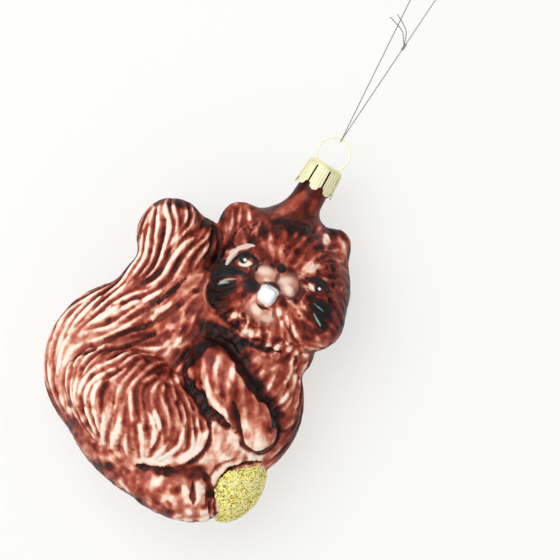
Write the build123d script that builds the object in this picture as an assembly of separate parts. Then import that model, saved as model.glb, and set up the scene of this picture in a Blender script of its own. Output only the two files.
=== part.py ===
# A hanging ornament: a hollow blown-glass squirrel that holds an acorn, with a crown cap,
# a wire ring and a thread loop.
#
# Millimetres. +Z is up along the neck's axis, +X is the viewer's right, and the face looks
# along -Y. The origin is the inside of the top of the thread loop, where a hook or a twig
# carries the ornament, so everything hangs below it.
import math
import os

from build123d import *

# Thread loop
thread_diameter = 0.35
thread_drop = 62.0  # from the inside of the loop's top to the centre of the wire it holds
loop_top_radius = 4.0  # inside, over the hook
wire_play = 0.12  # between the thread and the wire
bight_flat = 0.06  # each half of the short flat under the wire

# Knot
knot_length = 2.2
knot_diameter = 1.15
knot_rise = 30.0  # the knot's middle above the wire's centre
knot_wraps = 3
knot_groove = 0.22
tail_length = 9.0
tail_lean = 48  # degrees from straight up, towards the viewer's left
tail_spread = 14  # degrees between the two ends
tail_droop = 1.1  # how far an end's middle is bowed up from its chord

# Hanger wire
wire_diameter = 0.6
ring_radius = 4.5  # centre line
leg_side = 2.6  # each leg's distance from the neck's axis
leg_length = 17.0  # below the bend
foot_bend_radius = 0.6

# Cap
cap_sheet = 0.3
cap_height = 7.6  # from the top to the petals' tips
cap_shoulder_radius = 0.8
cap_flare = 0.5  # how much wider the skirt is at its tips
petal_count = 8
petal_turn = -92.5  # degrees from +X to the middle of the petal that faces the viewer
petal_slit = 0.3
petal_slit_drop = 1.1  # where the slits start, below the top
lobe_height = 1.6
lobe_width = 2.2
lobe_step_height = 0.7
lobe_step_bow_share = 0.25  # of the step's height, how far the step's curve stays up midway
lobe_tip_bow_share = 0.12  # of the lobe's width, how far out its side is halfway down
wire_hole_play = 0.25
cap_seat_gap = 0.15
cap_neck_play = 0.4

# Glass
glass_wall = 0.75
leg_play = 0.35  # between the wire's legs and the bore
neck_length = 9.5  # from the rim to where the flare starts
neck_taper = 0.4
flare_height = 9.5
flare_spread = 4.4
flare_bow = 1.1  # how far the flare's curve is drawn in from its chord
neck_root_depth = 6.0  # how far the neck's foot is buried in the head

# Whole figure, from the rim down
figure_height = 104.0
figure_width = 71.5

# Head
head_width = 39.0
head_height = 35.5
head_depth = 31.0
left_ear_width = 10.5
left_ear_height = 14.0
right_ear_width = 11.8
right_ear_height = 15.5
ear_depth = 9.0
muzzle_width = 15.0
muzzle_height = 12.5
muzzle_depth = 12.0
chin_width = 10.0
chin_height = 8.0
chin_depth = 9.0
cheek_width = 17.0
cheek_height = 14.0
cheek_depth = 14.0

# Trunk
collar_width = 38.0
collar_height = 17.0
collar_depth = 23.0
shoulder_width = 34.0
shoulder_height = 32.0
shoulder_depth = 21.0
chest_width = 46.0
chest_height = 46.0
chest_depth = 27.0
belly_width = 55.0
belly_height = 40.0
belly_depth = 29.0

# Tail
tail_foot_width = 44.0
tail_foot_height = 48.0
tail_foot_depth = 23.0
tail_waist_width = 22.0
tail_waist_height = 36.0
tail_waist_depth = 17.0
tail_tip_width = 18.0
tail_tip_height = 20.0
tail_tip_depth = 15.0
tail_lobe_width = 16.5
tail_lobe_height = 19.0
tail_lobe_depth = 13.0

# Limbs
haunch_width = 44.0
haunch_height = 28.5
haunch_depth = 24.0
far_haunch_depth = 18.0
arm_length = 34.0
arm_height = 13.5
arm_depth = 12.0
paw_length = 15.0
paw_height = 11.0
paw_depth = 10.5
foot_length = 27.0
foot_height = 15.0
foot_depth = 16.0

# Acorn
acorn_width = 13.4
acorn_height = 20.8
acorn_depth = 19.0
acorn_cup_width = 14.5
acorn_cup_height = 19.0
acorn_cup_depth = 17.5
acorn_sink = 3.98  # how far the nut's middle lies inside the belly's right side
acorn_cup_sink = 6.34  # the same for its cup
glitter_thickness = 0.4

overrun = 1.0  # how far a cutting tool runs past what it cuts

# Worked out from the sizes above
thread_radius = thread_diameter / 2
wire_radius = wire_diameter / 2
wire_crown_z = -thread_drop
ring_z = wire_crown_z - ring_radius
bend_x = leg_side + foot_bend_radius
bend_z = ring_z - math.sqrt((ring_radius + foot_bend_radius) ** 2 - bend_x**2)
cap_top_z = bend_z + cap_sheet
rim_z = bend_z - cap_seat_gap
bore_radius = leg_side + wire_radius + leg_play
rim_radius = bore_radius + glass_wall
cap_inner_radius = rim_radius + cap_neck_play
cap_outer_radius = cap_inner_radius + cap_sheet
bight_radius = wire_radius + wire_play + thread_radius
loop_radius = loop_top_radius + thread_radius

# Each form of the figure: its width, depth and height.
form_sizes = {
    "head": (head_width, head_depth, head_height),
    "left_ear": (left_ear_width, ear_depth, left_ear_height),
    "right_ear": (right_ear_width, ear_depth, right_ear_height),
    "muzzle": (muzzle_width, muzzle_depth, muzzle_height),
    "chin": (chin_width, chin_depth, chin_height),
    "left_cheek": (cheek_width, cheek_depth, cheek_height),
    "right_cheek": (cheek_width, cheek_depth, cheek_height),
    "collar": (collar_width, collar_depth, collar_height),
    "shoulder": (shoulder_width, shoulder_depth, shoulder_height),
    "chest": (chest_width, chest_depth, chest_height),
    "belly": (belly_width, belly_depth, belly_height),
    "tail_foot": (tail_foot_width, tail_foot_depth, tail_foot_height),
    "tail_waist": (tail_waist_width, tail_waist_depth, tail_waist_height),
    "tail_tip": (tail_tip_width, tail_tip_depth, tail_tip_height),
    "tail_lobe": (tail_lobe_width, tail_lobe_depth, tail_lobe_height),
    "haunch": (haunch_width, haunch_depth, haunch_height),
    "far_haunch": (haunch_width, far_haunch_depth, haunch_height),
    "arm": (arm_length, arm_depth, arm_height),
    "paw": (paw_length, paw_depth, paw_height),
    "foot": (foot_length, foot_depth, foot_height),
    "acorn_cup": (acorn_cup_width, acorn_cup_depth, acorn_cup_height),
    "acorn": (acorn_width, acorn_depth, acorn_height),
}

# How far each form's middle lies to the right of the neck's axis, as a share of the figure's
# width. The acorn's two forms lean on the belly's right side instead, sunk a little into it.
form_side_shares = {
    "head": 0.084,
    "left_ear": -0.170,
    "right_ear": 0.168,
    "muzzle": 0.052,
    "chin": 0.062,
    "left_cheek": -0.070,
    "right_cheek": 0.225,
    "collar": 0.060,
    "shoulder": -0.130,
    "chest": 0.085,
    "belly": -0.016,
    "tail_foot": -0.280,
    "tail_waist": -0.318,
    "tail_tip": -0.375,
    "tail_lobe": -0.285,
    "haunch": -0.155,
    "far_haunch": -0.155,
    "arm": 0.112,
    "paw": 0.248,
    "foot": 0.092,
}
form_sides = {name: share * figure_width for name, share in form_side_shares.items()}
belly_side = form_sides["belly"] + belly_width / 2
form_sides["acorn_cup"] = belly_side - acorn_cup_sink
form_sides["acorn"] = belly_side - acorn_sink

# The rest of each form's place: a share of the figure's height below the rim, a share of its
# own depth in front of the mould's parting plane, and its lean in degrees clockwise as the
# viewer sees it.
form_place_shares = {
    "head": (0.320, 0.03, 8),
    "left_ear": (0.248, 0.05, -24),
    "right_ear": (0.199, 0.05, 16),
    "muzzle": (0.326, 1.12, 0),
    "chin": (0.398, 1.38, 0),
    "left_cheek": (0.385, 0.56, 20),
    "right_cheek": (0.375, 0.54, -25),
    "collar": (0.468, 0.04, 2),
    "shoulder": (0.520, 0.04, 0),
    "chest": (0.660, 0.04, 0),
    "belly": (0.805, 0.04, 4),
    "tail_foot": (0.695, -0.03, 5),
    "tail_waist": (0.490, -0.03, 12),
    "tail_tip": (0.352, -0.03, -20),
    "tail_lobe": (0.358, -0.03, 8),
    "haunch": (0.775, 0.33, 4),
    "far_haunch": (0.775, -0.39, 4),
    "arm": (0.625, 0.98, 29),
    "paw": (0.676, 1.10, 38),
    "foot": (0.920, 0.45, -6),
    "acorn_cup": (0.832, 0.10, 12),
    "acorn": (0.838, 0.10, 12),
}
seam_turn = 37  # degrees from one form's seam to the next form's, so that no two seams meet


def blown_form(name, growth=0.0):
    """One rounded form of the figure, grown or shrunk all round by the growth."""
    drop_share, front_share, lean = form_place_shares[name]
    width, depth, height = form_sizes[name]
    place = (form_sides[name], -front_share * depth, rim_z - drop_share * figure_height)
    half_sizes = (width / 2 + growth, depth / 2 + growth, height / 2 + growth)
    seam = seam_turn * list(form_sizes).index(name)
    ball = Rotation(0, 90, 0) * Rotation(0, 0, seam) * Sphere(1)
    return Location(place) * Rotation(0, lean, 0) * scale(ball, by=half_sizes)


def neck_form(inset, top_z):
    """The neck and its flare into the head, drawn in by the inset, up to the top."""
    rim = rim_radius - inset
    root = rim + neck_taper
    flare = root + flare_spread
    root_z = rim_z - neck_length
    flare_z = root_z - flare_height
    foot_z = flare_z - neck_root_depth
    middle = Vector((root + flare) / 2, (root_z + flare_z) / 2)
    across = Vector(-flare_height, -flare_spread).normalized()
    bow = middle + across * flare_bow
    with BuildPart() as neck:
        with BuildSketch(Plane.XZ):
            with BuildLine():
                Polyline((0, foot_z), (0, top_z), (rim, top_z), (root, root_z))
                ThreePointArc((root, root_z), (bow.X, bow.Y), (flare, flare_z))
                Polyline((flare, flare_z), (flare, foot_z), (0, foot_z))
            make_face()
        revolve(axis=Axis.Z)
    return neck.part


def blown_figure(inset):
    """Every form of the figure grown together with the neck, all drawn in by the inset."""
    top_z = rim_z + (overrun if inset else 0)
    forms = [blown_form(name, -inset) for name in form_sizes]
    return neck_form(inset, top_z).fuse(*forms)


def make_glitter_coat(figure):
    """The thin coat on what stands proud of the acorn, lying on the glass."""
    return blown_form("acorn", glitter_thickness) - figure


def cap_profile(radius, shoulder, top_z, foot_z):
    """Half of the cap's section out to the radius, for one solid of revolution."""
    with BuildPart() as body:
        with BuildSketch(Plane.XZ):
            with BuildLine():
                Polyline((0, foot_z), (0, top_z), (radius - shoulder, top_z))
                RadiusArc((radius - shoulder, top_z), (radius, top_z - shoulder), shoulder)
                Polyline((radius, top_z - shoulder), (radius + cap_flare, foot_z), (0, foot_z))
            make_face()
        revolve(axis=Axis.Z)
    return body.part


def petal_gap():
    """The slit between two petals and the notches beside their lobes, as one cutter."""
    tip_z = cap_top_z - cap_height
    step_z = tip_z + lobe_height
    skirt_radius = cap_outer_radius + cap_flare
    pitch = 2 * math.pi * skirt_radius / petal_count
    notch = (pitch - lobe_width) / 2
    half_slit = petal_slit / 2
    shelf = (notch + half_slit) / 2
    low_z = tip_z - overrun
    lobe_z = step_z - lobe_step_height
    with BuildPart() as gap:
        with BuildSketch(Plane.YZ):
            with BuildLine():
                side = Polyline(
                    (0, cap_top_z - petal_slit_drop),
                    (half_slit, cap_top_z - petal_slit_drop),
                    (half_slit, step_z),
                )
                curve = ThreePointArc(
                    side @ 1,
                    (shelf, step_z - lobe_step_height * lobe_step_bow_share),
                    (notch, lobe_z),
                )
                tip = ThreePointArc(
                    curve @ 1,
                    (notch + lobe_width * lobe_tip_bow_share, (lobe_z + tip_z) / 2),
                    (notch + lobe_width / 2, tip_z),
                )
                Polyline(tip @ 1, (notch + lobe_width / 2, low_z), (0, low_z))
                mirror(about=Plane.XZ)
                mirror(about=Plane.YZ)
            make_face()
        extrude(amount=skirt_radius + overrun)
    return gap.part


def make_cap():
    """The crown cap: one pressed sheet with petals, lobed tips and the wire's two holes."""
    tip_z = cap_top_z - cap_height
    outer = cap_profile(cap_outer_radius, cap_shoulder_radius, cap_top_z, tip_z)
    inner_shoulder = cap_shoulder_radius - cap_sheet
    inner = cap_profile(cap_inner_radius, inner_shoulder, cap_top_z - cap_sheet, tip_z - overrun)
    cap = outer - inner
    pitch = 360 / petal_count
    for index in range(petal_count):
        turn = petal_turn + pitch * (index + 1 / 2)
        cap -= Rotation(0, 0, turn) * petal_gap()
    hole = Cylinder(wire_radius + wire_hole_play, 2 * (cap_sheet + overrun))
    for side in (-leg_side, leg_side):
        cap -= Location((side, 0, cap_top_z)) * hole
    return cap


def make_hanger_wire():
    """One wire: a leg, its bend, the ring round to the other bend, and the other leg."""
    bend_angle = math.degrees(math.atan2(ring_z - bend_z, bend_x))
    tip_z = bend_z - leg_length
    with BuildLine(Plane.XZ) as path:
        Line((leg_side, tip_z), (leg_side, bend_z))
        CenterArc((bend_x, bend_z), foot_bend_radius, 180, -bend_angle)
        CenterArc((0, ring_z), ring_radius, -bend_angle, 180 + 2 * bend_angle)
        CenterArc((-bend_x, bend_z), foot_bend_radius, bend_angle, -bend_angle)
        Line((-leg_side, bend_z), (-leg_side, tip_z))
    section = Location((leg_side, 0, tip_z)) * Circle(wire_radius)
    return sweep(section, path=path.wire())


def thread_route():
    """The loop's corners: from the knot down round the wire, up over the hook and back."""
    bight_y = bight_radius + bight_flat
    bight_z = wire_crown_z - bight_radius
    front_low = Vector(0, -bight_y, bight_z)
    back_low = Vector(0, bight_y, bight_z)
    left_top = Vector(-loop_radius, 0, thread_radius)
    right_top = Vector(loop_radius, 0, thread_radius)
    strand = right_top - front_low
    knot_share = (wire_crown_z + knot_rise - front_low.Z) / strand.Z
    knot_place = front_low + strand * knot_share
    along = strand.normalized()
    below = knot_place - along * (knot_length / 2)
    above = knot_place + along * (knot_length / 2)
    return [below, front_low, back_low, left_top, right_top, above], knot_place, along


def make_thread_loop():
    """The thread as a tube along its route, from the knot's foot round to its head."""
    corners, _, _ = thread_route()
    radii = [bight_radius, bight_radius, loop_radius, loop_radius]
    print("thread bends, mm:", [round(radius, 2) for radius in radii])
    path = FilletPolyline(*corners, radius=radii)
    section = Plane(origin=corners[0], z_dir=corners[1] - corners[0]) * Circle(thread_radius)
    tube = sweep(section, path=path)
    print("thread length, mm:", round(path.length, 1))
    print("thread volume over section times length:", round(tube.volume / (path.length * section.area), 4))
    return tube


def knot_end(place, angle):
    """One cut end of the thread, bowed a little, that leaves the knot at the angle."""
    lean = math.radians(angle)
    reach = Vector(-math.sin(lean), 0, math.cos(lean))
    square = Vector(math.cos(lean), 0, math.sin(lean))
    tip = place + reach * tail_length
    bow = place + reach * (tail_length / 2) + square * tail_droop
    path = ThreePointArc(place, bow, tip)
    return sweep(Plane(origin=place, z_dir=path % 0) * Circle(thread_radius), path=path)


def make_thread_knot():
    """The knot as wraps round the strand, with the thread's two cut ends."""
    _, place, along = thread_route()
    body = Cylinder(knot_diameter / 2 - knot_groove, knot_length)
    pitch = knot_length / knot_wraps
    bead = knot_diameter / 2
    for index in range(knot_wraps):
        height = pitch * (index + 1 / 2) - knot_length / 2
        wrap = scale(Rotation(0, 0, seam_turn * index) * Sphere(1), by=(bead, bead, pitch / 2))
        body += Location((0, 0, height)) * wrap
    knot = Plane(origin=place, z_dir=along).location * body
    for turn in (-tail_spread / 2, tail_spread / 2):
        knot += knot_end(place, tail_lean + turn)
    return knot


figure = blown_figure(0)
pieces = {
    "glass_body": figure - blown_figure(glass_wall),
    "glitter_coat": make_glitter_coat(figure),
    "ornament_cap": make_cap(),
    "hanger_wire": make_hanger_wire(),
    "thread_loop": make_thread_loop(),
    "thread_knot": make_thread_knot(),
}
os.makedirs("parts", exist_ok=True)
for node, piece in pieces.items():
    export_step(piece, f"parts/{node}.step")
    print(node, "volume", round(piece.volume, 2), "mm3,", len(piece.solids()), "solid")
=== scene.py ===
# %% [markdown]
# # A blown-glass squirrel on its thread
#
# The ornament is one bubble of glass, blown into a two-part mould. It is silvered inside, and a
# red-brown lacquer is brushed over the outside and wiped off again, so that it stays in the
# mould's fur grooves and leaves the ridges pale. A crown cap with a sprung wire ring sits on the
# neck, and a thread loop is tied through the ring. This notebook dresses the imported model: it
# loads the frame, sets the stage, and then makes one piece at a time.

# %% Load the frame
import math

import bmesh
import bpy
import numpy as np
import openvdb
from mathutils import Matrix, Vector
from mathutils.kdtree import KDTree


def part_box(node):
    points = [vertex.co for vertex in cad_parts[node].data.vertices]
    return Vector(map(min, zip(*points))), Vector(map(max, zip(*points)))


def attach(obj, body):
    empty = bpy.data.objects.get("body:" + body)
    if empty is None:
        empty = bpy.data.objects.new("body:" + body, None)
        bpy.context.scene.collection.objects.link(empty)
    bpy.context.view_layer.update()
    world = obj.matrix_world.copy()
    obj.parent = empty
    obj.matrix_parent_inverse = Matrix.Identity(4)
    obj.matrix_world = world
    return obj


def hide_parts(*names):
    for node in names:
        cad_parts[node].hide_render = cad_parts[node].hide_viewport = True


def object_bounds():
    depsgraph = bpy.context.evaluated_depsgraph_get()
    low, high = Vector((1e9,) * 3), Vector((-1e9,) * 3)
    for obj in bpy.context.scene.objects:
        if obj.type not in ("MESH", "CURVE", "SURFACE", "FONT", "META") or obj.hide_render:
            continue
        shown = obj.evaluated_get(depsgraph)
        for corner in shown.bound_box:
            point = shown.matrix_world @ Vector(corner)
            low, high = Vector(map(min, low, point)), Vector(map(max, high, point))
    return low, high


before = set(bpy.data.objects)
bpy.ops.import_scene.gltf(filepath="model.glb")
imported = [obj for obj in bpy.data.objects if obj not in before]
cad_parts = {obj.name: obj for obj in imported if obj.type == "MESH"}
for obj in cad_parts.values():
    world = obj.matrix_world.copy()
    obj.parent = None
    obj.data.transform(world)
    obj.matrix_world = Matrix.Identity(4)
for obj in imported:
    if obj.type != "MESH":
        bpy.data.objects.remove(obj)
cad_low, cad_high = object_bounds()
print("CAD box, mm:", [round(v * 1000, 1) for v in (*cad_low, *cad_high)])

# %% [markdown]
# ## One ruler for the whole figure
#
# Places on the figure are read in millimetres to the right of the neck's axis, back from the
# mould's parting plane, and up from the middle of the cap. That middle is worked out from the
# glass rim, which the frame gives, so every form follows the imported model.

# %% Millimetres and the figure's own zero
MM = 0.001
CAP_MIDDLE_DROP = 3.45  # mm, from the glass rim down to the cap's middle
NECK_RIM = CAP_MIDDLE_DROP
_, glass_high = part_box("glass_body")
zero_height = glass_high.z - CAP_MIDDLE_DROP * MM
print("figure's zero height, mm:", round(zero_height / MM, 2))


def in_metres(points):
    """Figure millimetres to metres in the row frame."""
    moved = np.asarray(points, float) * MM
    moved[..., 2] += zero_height
    return moved


def smooth_step(value, low, high):
    """0 below low, 1 above high, and an even curve between."""
    share = np.clip((value - low) / (high - low), 0, 1)
    return share * share * (3 - 2 * share)


# %% [markdown]
# ## Camera
#
# The ornament was photographed from straight above while it lay on its back, with its neck 30
# degrees clockwise from upright. Here it hangs, as it is used, so the camera looks level at its
# face and is rolled instead. A long lens keeps the outline as flat as the photograph shows it.

# %% Set the camera
PICTURE_WIDTH = 151.2 * MM  # across the picture, at the parting plane
PICTURE_MIDDLE = (4.5, 0.0, -29.08)  # figure millimetres
CAMERA_ROLL = math.radians(30)
CAMERA_DISTANCE = 0.7
SENSOR_WIDTH = 36.0


def link_object(name, data):
    """A new object in the scene."""
    made = bpy.data.objects.new(name, data)
    bpy.context.scene.collection.objects.link(made)
    return made


lens = bpy.data.cameras.new("camera")
lens.sensor_width = SENSOR_WIDTH
lens.lens = SENSOR_WIDTH * CAMERA_DISTANCE / PICTURE_WIDTH
camera = link_object("camera", lens)
picture_middle = Vector(in_metres(PICTURE_MIDDLE))
picture_right = Vector((math.cos(CAMERA_ROLL), 0, math.sin(CAMERA_ROLL)))
picture_up = Vector((-math.sin(CAMERA_ROLL), 0, math.cos(CAMERA_ROLL)))
towards_camera = Vector((0, -1, 0))
turned = Matrix((picture_right, picture_up, towards_camera)).transposed().to_4x4()
camera.matrix_world = Matrix.Translation(picture_middle + towards_camera * CAMERA_DISTANCE) @ turned
bpy.context.scene.camera = camera
print("lens, mm:", round(lens.lens, 1))

# %% [markdown]
# ## Thread loop
#
# A thin two-ply thread goes through the ring and is tied on itself. It carries the ornament, so
# both strands are straight from the ring to the hook. Its line is a NURBS spline on the route's
# points, with one more point near each end of a straight run, so that the run stays straight and
# only the turns bend. A plain bevel would give a bare wire, so two thin plies are wound round
# that line instead.

# %% The thread's route
THREAD_DIAMETER = 0.00035
KNOT_FOOT = (0.001962, -0.000347, -0.033098)
KNOT_HEAD = (0.002108, -0.000324, -0.030903)
RING_FRONT = (0.0, -0.000655, -0.062595)
RING_BACK = (0.0, 0.000655, -0.062595)
LEFT_TOP = (-0.004175, 0.0, 0.000175)
RIGHT_TOP = (0.004175, 0.0, 0.000175)


def part_way(start, end, distance):
    """The point at the distance from start towards end."""
    start, end = Vector(start), Vector(end)
    return start + (end - start).normalized() * distance


def spline_path(points, order=3, steps=24):
    """The points along a NURBS spline, as Blender draws it."""
    curve = bpy.data.curves.new("route", "CURVE")
    curve.dimensions = "3D"
    spline = curve.splines.new("NURBS")
    spline.points.add(len(points) - 1)
    for knot, place in zip(spline.points, points):
        knot.co = (*place, 1)
    spline.order_u = order
    spline.use_endpoint_u = True
    spline.resolution_u = steps
    made = link_object("route", curve)
    bpy.context.view_layer.update()
    shown = made.evaluated_get(bpy.context.evaluated_depsgraph_get())
    line = bpy.data.meshes.new_from_object(shown)
    path = np.array([vertex.co for vertex in line.vertices])
    bpy.data.objects.remove(made)
    return path


near_turn = 6 * THREAD_DIAMETER
thread_route = [
    KNOT_FOOT,
    part_way(RING_FRONT, RIGHT_TOP, near_turn),
    RING_FRONT,
    RING_BACK,
    part_way(RING_BACK, LEFT_TOP, near_turn),
    part_way(LEFT_TOP, RING_BACK, near_turn),
    LEFT_TOP,
    RIGHT_TOP,
    part_way(RIGHT_TOP, RING_FRONT, near_turn),
    KNOT_HEAD,
]
thread_path = spline_path(thread_route)
path_length = np.linalg.norm(np.diff(thread_path, axis=0), axis=1).sum()
print("thread points:", len(thread_path), "length, mm:", round(path_length * 1000, 1))

# %% Wind two plies round a line
PLY_SIDES = 6
PLY_STEP = 0.00014  # along the line, between two rings of points
TWIST_PITCH = 0.0016
FIRST_ACROSS = (0.3, 0.9, 0.2)  # any direction that no strand starts in


def evenly_spaced(path, step):
    """The line again, with points at equal distances."""
    lengths = np.linalg.norm(np.diff(path, axis=0), axis=1)
    travelled = np.concatenate([[0], np.cumsum(lengths)])
    wanted = np.linspace(0, travelled[-1], max(int(travelled[-1] / step), 8))
    return np.stack([np.interp(wanted, travelled, path[:, axis]) for axis in range(3)], 1)


def moving_frames(path):
    """At each point of the line, two directions across it that don't twist."""
    along = np.gradient(path, axis=0)
    along /= np.linalg.norm(along, axis=1, keepdims=True)
    across = np.empty_like(path)
    across[0] = np.cross(along[0], FIRST_ACROSS)
    for index in range(1, len(path)):
        across[index] = across[index - 1] - along[index] * (across[index - 1] @ along[index])
    across /= np.linalg.norm(across, axis=1, keepdims=True)
    return across, np.cross(along, across)


def two_plies(work, path, diameter):
    """Adds a closed two-ply strand along the line to the bmesh."""
    path = evenly_spaced(path, PLY_STEP)
    across, beside = moving_frames(path)
    distance = np.arange(len(path)) * PLY_STEP
    ply_radius = diameter / 4
    for ply in range(2):
        angle = 2 * np.pi * distance / TWIST_PITCH + np.pi * ply
        aside = across * np.cos(angle)[:, None] + beside * np.sin(angle)[:, None]
        centre = path + aside * ply_radius
        rings = []
        for index in range(len(path)):
            ring = []
            for side in range(PLY_SIDES):
                turn = 2 * np.pi * side / PLY_SIDES
                out = across[index] * np.cos(turn) + beside[index] * np.sin(turn)
                ring.append(work.verts.new(centre[index] + out * ply_radius))
            rings.append(ring)
        for first, second in zip(rings[:-1], rings[1:]):
            for side in range(PLY_SIDES):
                after = (side + 1) % PLY_SIDES
                work.faces.new((first[side], first[after], second[after], second[side]))
        work.faces.new(rings[0][::-1])
        work.faces.new(rings[-1])


def shaded_smooth(mesh):
    """The mesh with smooth shading on every face."""
    for polygon in mesh.polygons:
        polygon.use_smooth = True
    return mesh


def mesh_object(name, work):
    """A smooth-shaded object from the bmesh, which is freed."""
    mesh = bpy.data.meshes.new(name)
    work.to_mesh(mesh)
    work.free()
    return link_object(name, shaded_smooth(mesh))


work = bmesh.new()
two_plies(work, thread_path, THREAD_DIAMETER)
thread_loop = mesh_object("thread_loop_strand", work)
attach(thread_loop, "thread")
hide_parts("thread_loop")
print("thread faces:", len(thread_loop.data.polygons))

# %% [markdown]
# ## Stage
#
# The stage is a pale floor far below and a pale sheet just behind the figure. The sheet stands
# for the white paper that the ornament lay on: it catches the same faint shadow, fades out at
# its rim, and can't be seen or cast a shadow from behind, so the back of the figure stays open
# to the camera and to the light.

# %% Shader helpers
def new_material(name):
    """An empty node material, and its node tree."""
    material = bpy.data.materials.new(name)
    material.use_nodes = True
    material.node_tree.nodes.clear()
    return material, material.node_tree


def add(tree, kind, inputs=None, **settings):
    """A node with its settings, each input either a value or a socket to link from."""
    made = tree.nodes.new(kind)
    for name, value in settings.items():
        setattr(made, name, value)
    for name, value in (inputs or {}).items():
        if isinstance(value, bpy.types.NodeSocket):
            tree.links.new(value, made.inputs[name])
        else:
            made.inputs[name].default_value = value
    return made


def maths(tree, operation, first, second=0.0, third=0.0):
    """The output of a Math node."""
    made = add(tree, "ShaderNodeMath", {0: first, 1: second, 2: third}, operation=operation)
    return made.outputs[0]


def mixed(tree, factor, first, second, blend="MIX"):
    """The colour output of a Mix node."""
    made = add(tree, "ShaderNodeMix", data_type="RGBA", blend_type=blend)
    for socket, value in zip((made.inputs[0], made.inputs[6], made.inputs[7]), (factor, first, second)):
        if isinstance(value, bpy.types.NodeSocket):
            tree.links.new(value, socket)
        else:
            socket.default_value = value
    return made.outputs[2]


def ramp(tree, factor, stops):
    """The colour output of a Color Ramp with the stops, each a place and a colour."""
    made = add(tree, "ShaderNodeValToRGB", {"Fac": factor})
    steps = made.color_ramp.elements
    while len(steps) < len(stops):
        steps.new(1.0)
    for step, (place, colour) in zip(steps, stops):
        step.position = place
        step.color = (*colour, 1)
    return made.outputs["Color"]


def bumps(tree, height, strength, distance):
    """The normals of a Bump node over the height."""
    settings = {"Height": height, "Strength": strength, "Distance": distance}
    return add(tree, "ShaderNodeBump", settings).outputs[0]


def surface(tree, inputs):
    """Ends a material with a Principled shader that has the inputs."""
    shader = add(tree, "ShaderNodeBsdfPrincipled", inputs)
    add(tree, "ShaderNodeOutputMaterial", {"Surface": shader.outputs[0]})


# %% Pale floor
PAPER = (0.90, 0.90, 0.89)
PAPER_ROUGHNESS = 0.9
FLOOR_DROP = 0.30  # below the lowest point of the figure
FLOOR_HALF = 2.5


def square(name, half):
    """A flat square about the origin."""
    mesh = bpy.data.meshes.new(name)
    corners = [(-half, -half, 0), (half, -half, 0), (half, half, 0), (-half, half, 0)]
    mesh.from_pydata(corners, [], [(0, 1, 2, 3)])
    return link_object(name, mesh)


floor = square("floor", FLOOR_HALF)
floor.location = (0, 0, cad_low.z - FLOOR_DROP)
paper, tree = new_material("paper")
surface(tree, {"Base Color": (*PAPER, 1), "Roughness": PAPER_ROUGHNESS})
floor.data.materials.append(paper)
print("floor height, m:", round(floor.location.z, 3))

# %% The sheet behind the figure
SHEET_GAP = 2.0 * MM  # behind the figure's back
SHADOW_LIFT = 0.62  # how much of what the camera sees is the paper's own white
PAPER_GLOW = (0.955, 0.955, 0.945)
SHEET_SOLID = 0.20  # radius in metres up to which the sheet is whole
SHEET_FADE = 0.32

sheet = square("backing_sheet", SHEET_FADE)
sheet.rotation_euler = (math.pi / 2, 0, 0)
sheet.location = (picture_middle.x, glass_high.y + SHEET_GAP, picture_middle.z)
backing, tree = new_material("backing_sheet")
place = add(tree, "ShaderNodeTexCoord")
away = add(tree, "ShaderNodeVectorMath", {0: place.outputs["Object"]}, operation="LENGTH")
fade = add(
    tree,
    "ShaderNodeMapRange",
    {"Value": away.outputs["Value"], "From Min": SHEET_SOLID, "From Max": SHEET_FADE},
    interpolation_type="SMOOTHSTEP",
)
facing_away = add(tree, "ShaderNodeNewGeometry").outputs["Backfacing"]
shadow_ray = add(tree, "ShaderNodeLightPath").outputs["Is Shadow Ray"]
hidden = maths(tree, "MAXIMUM", facing_away, shadow_ray)
hidden = maths(tree, "MAXIMUM", hidden, fade.outputs["Result"])
matt_finish = {"Base Color": (*PAPER, 1), "Roughness": PAPER_ROUGHNESS}
matt = add(tree, "ShaderNodeBsdfPrincipled", matt_finish)
glow = add(tree, "ShaderNodeEmission", {"Color": (*PAPER_GLOW, 1)})
seen = add(tree, "ShaderNodeLightPath").outputs["Is Camera Ray"]
lift = maths(tree, "MULTIPLY", seen, SHADOW_LIFT)
paper_light = add(tree, "ShaderNodeMixShader", {0: lift, 1: matt.outputs[0], 2: glow.outputs[0]})
clear = add(tree, "ShaderNodeBsdfTransparent")
both = add(tree, "ShaderNodeMixShader", {0: hidden, 1: paper_light.outputs[0], 2: clear.outputs[0]})
add(tree, "ShaderNodeOutputMaterial", {"Surface": both.outputs[0]})
sheet.data.materials.append(backing)
print("sheet's whole radius, m:", SHEET_SOLID)

# %% Soft studio light
KEY_SIZE = 0.7
LAMP_DISTANCE = 0.85
KEY_POWER = 4.6
FILL_SIZE = 0.9
FILL_POWER = 2.0
WORLD_STRENGTH = 0.6
WORLD_SEEN = 0.94
AIR = (1.0, 1.0, 0.99)
upper_left = (picture_up - picture_right).normalized()
key_from = towards_camera * 0.95 + upper_left * 0.5
fill_from = -towards_camera * 0.8 + Vector((0.4, 0, 0.6))


def soft_lamp(name, direction, size, power):
    """A square area lamp that looks at the middle of the picture from the direction."""
    lamp = bpy.data.lights.new(name, "AREA")
    lamp.size = size
    lamp.energy = power
    made = link_object(name, lamp)
    direction = direction.normalized()
    made.location = picture_middle + direction * LAMP_DISTANCE
    made.rotation_euler = direction.to_track_quat("Z", "Y").to_euler()
    return made


soft_lamp("key_lamp", key_from, KEY_SIZE, KEY_POWER)
soft_lamp("back_fill_lamp", fill_from, FILL_SIZE, FILL_POWER)

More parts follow.
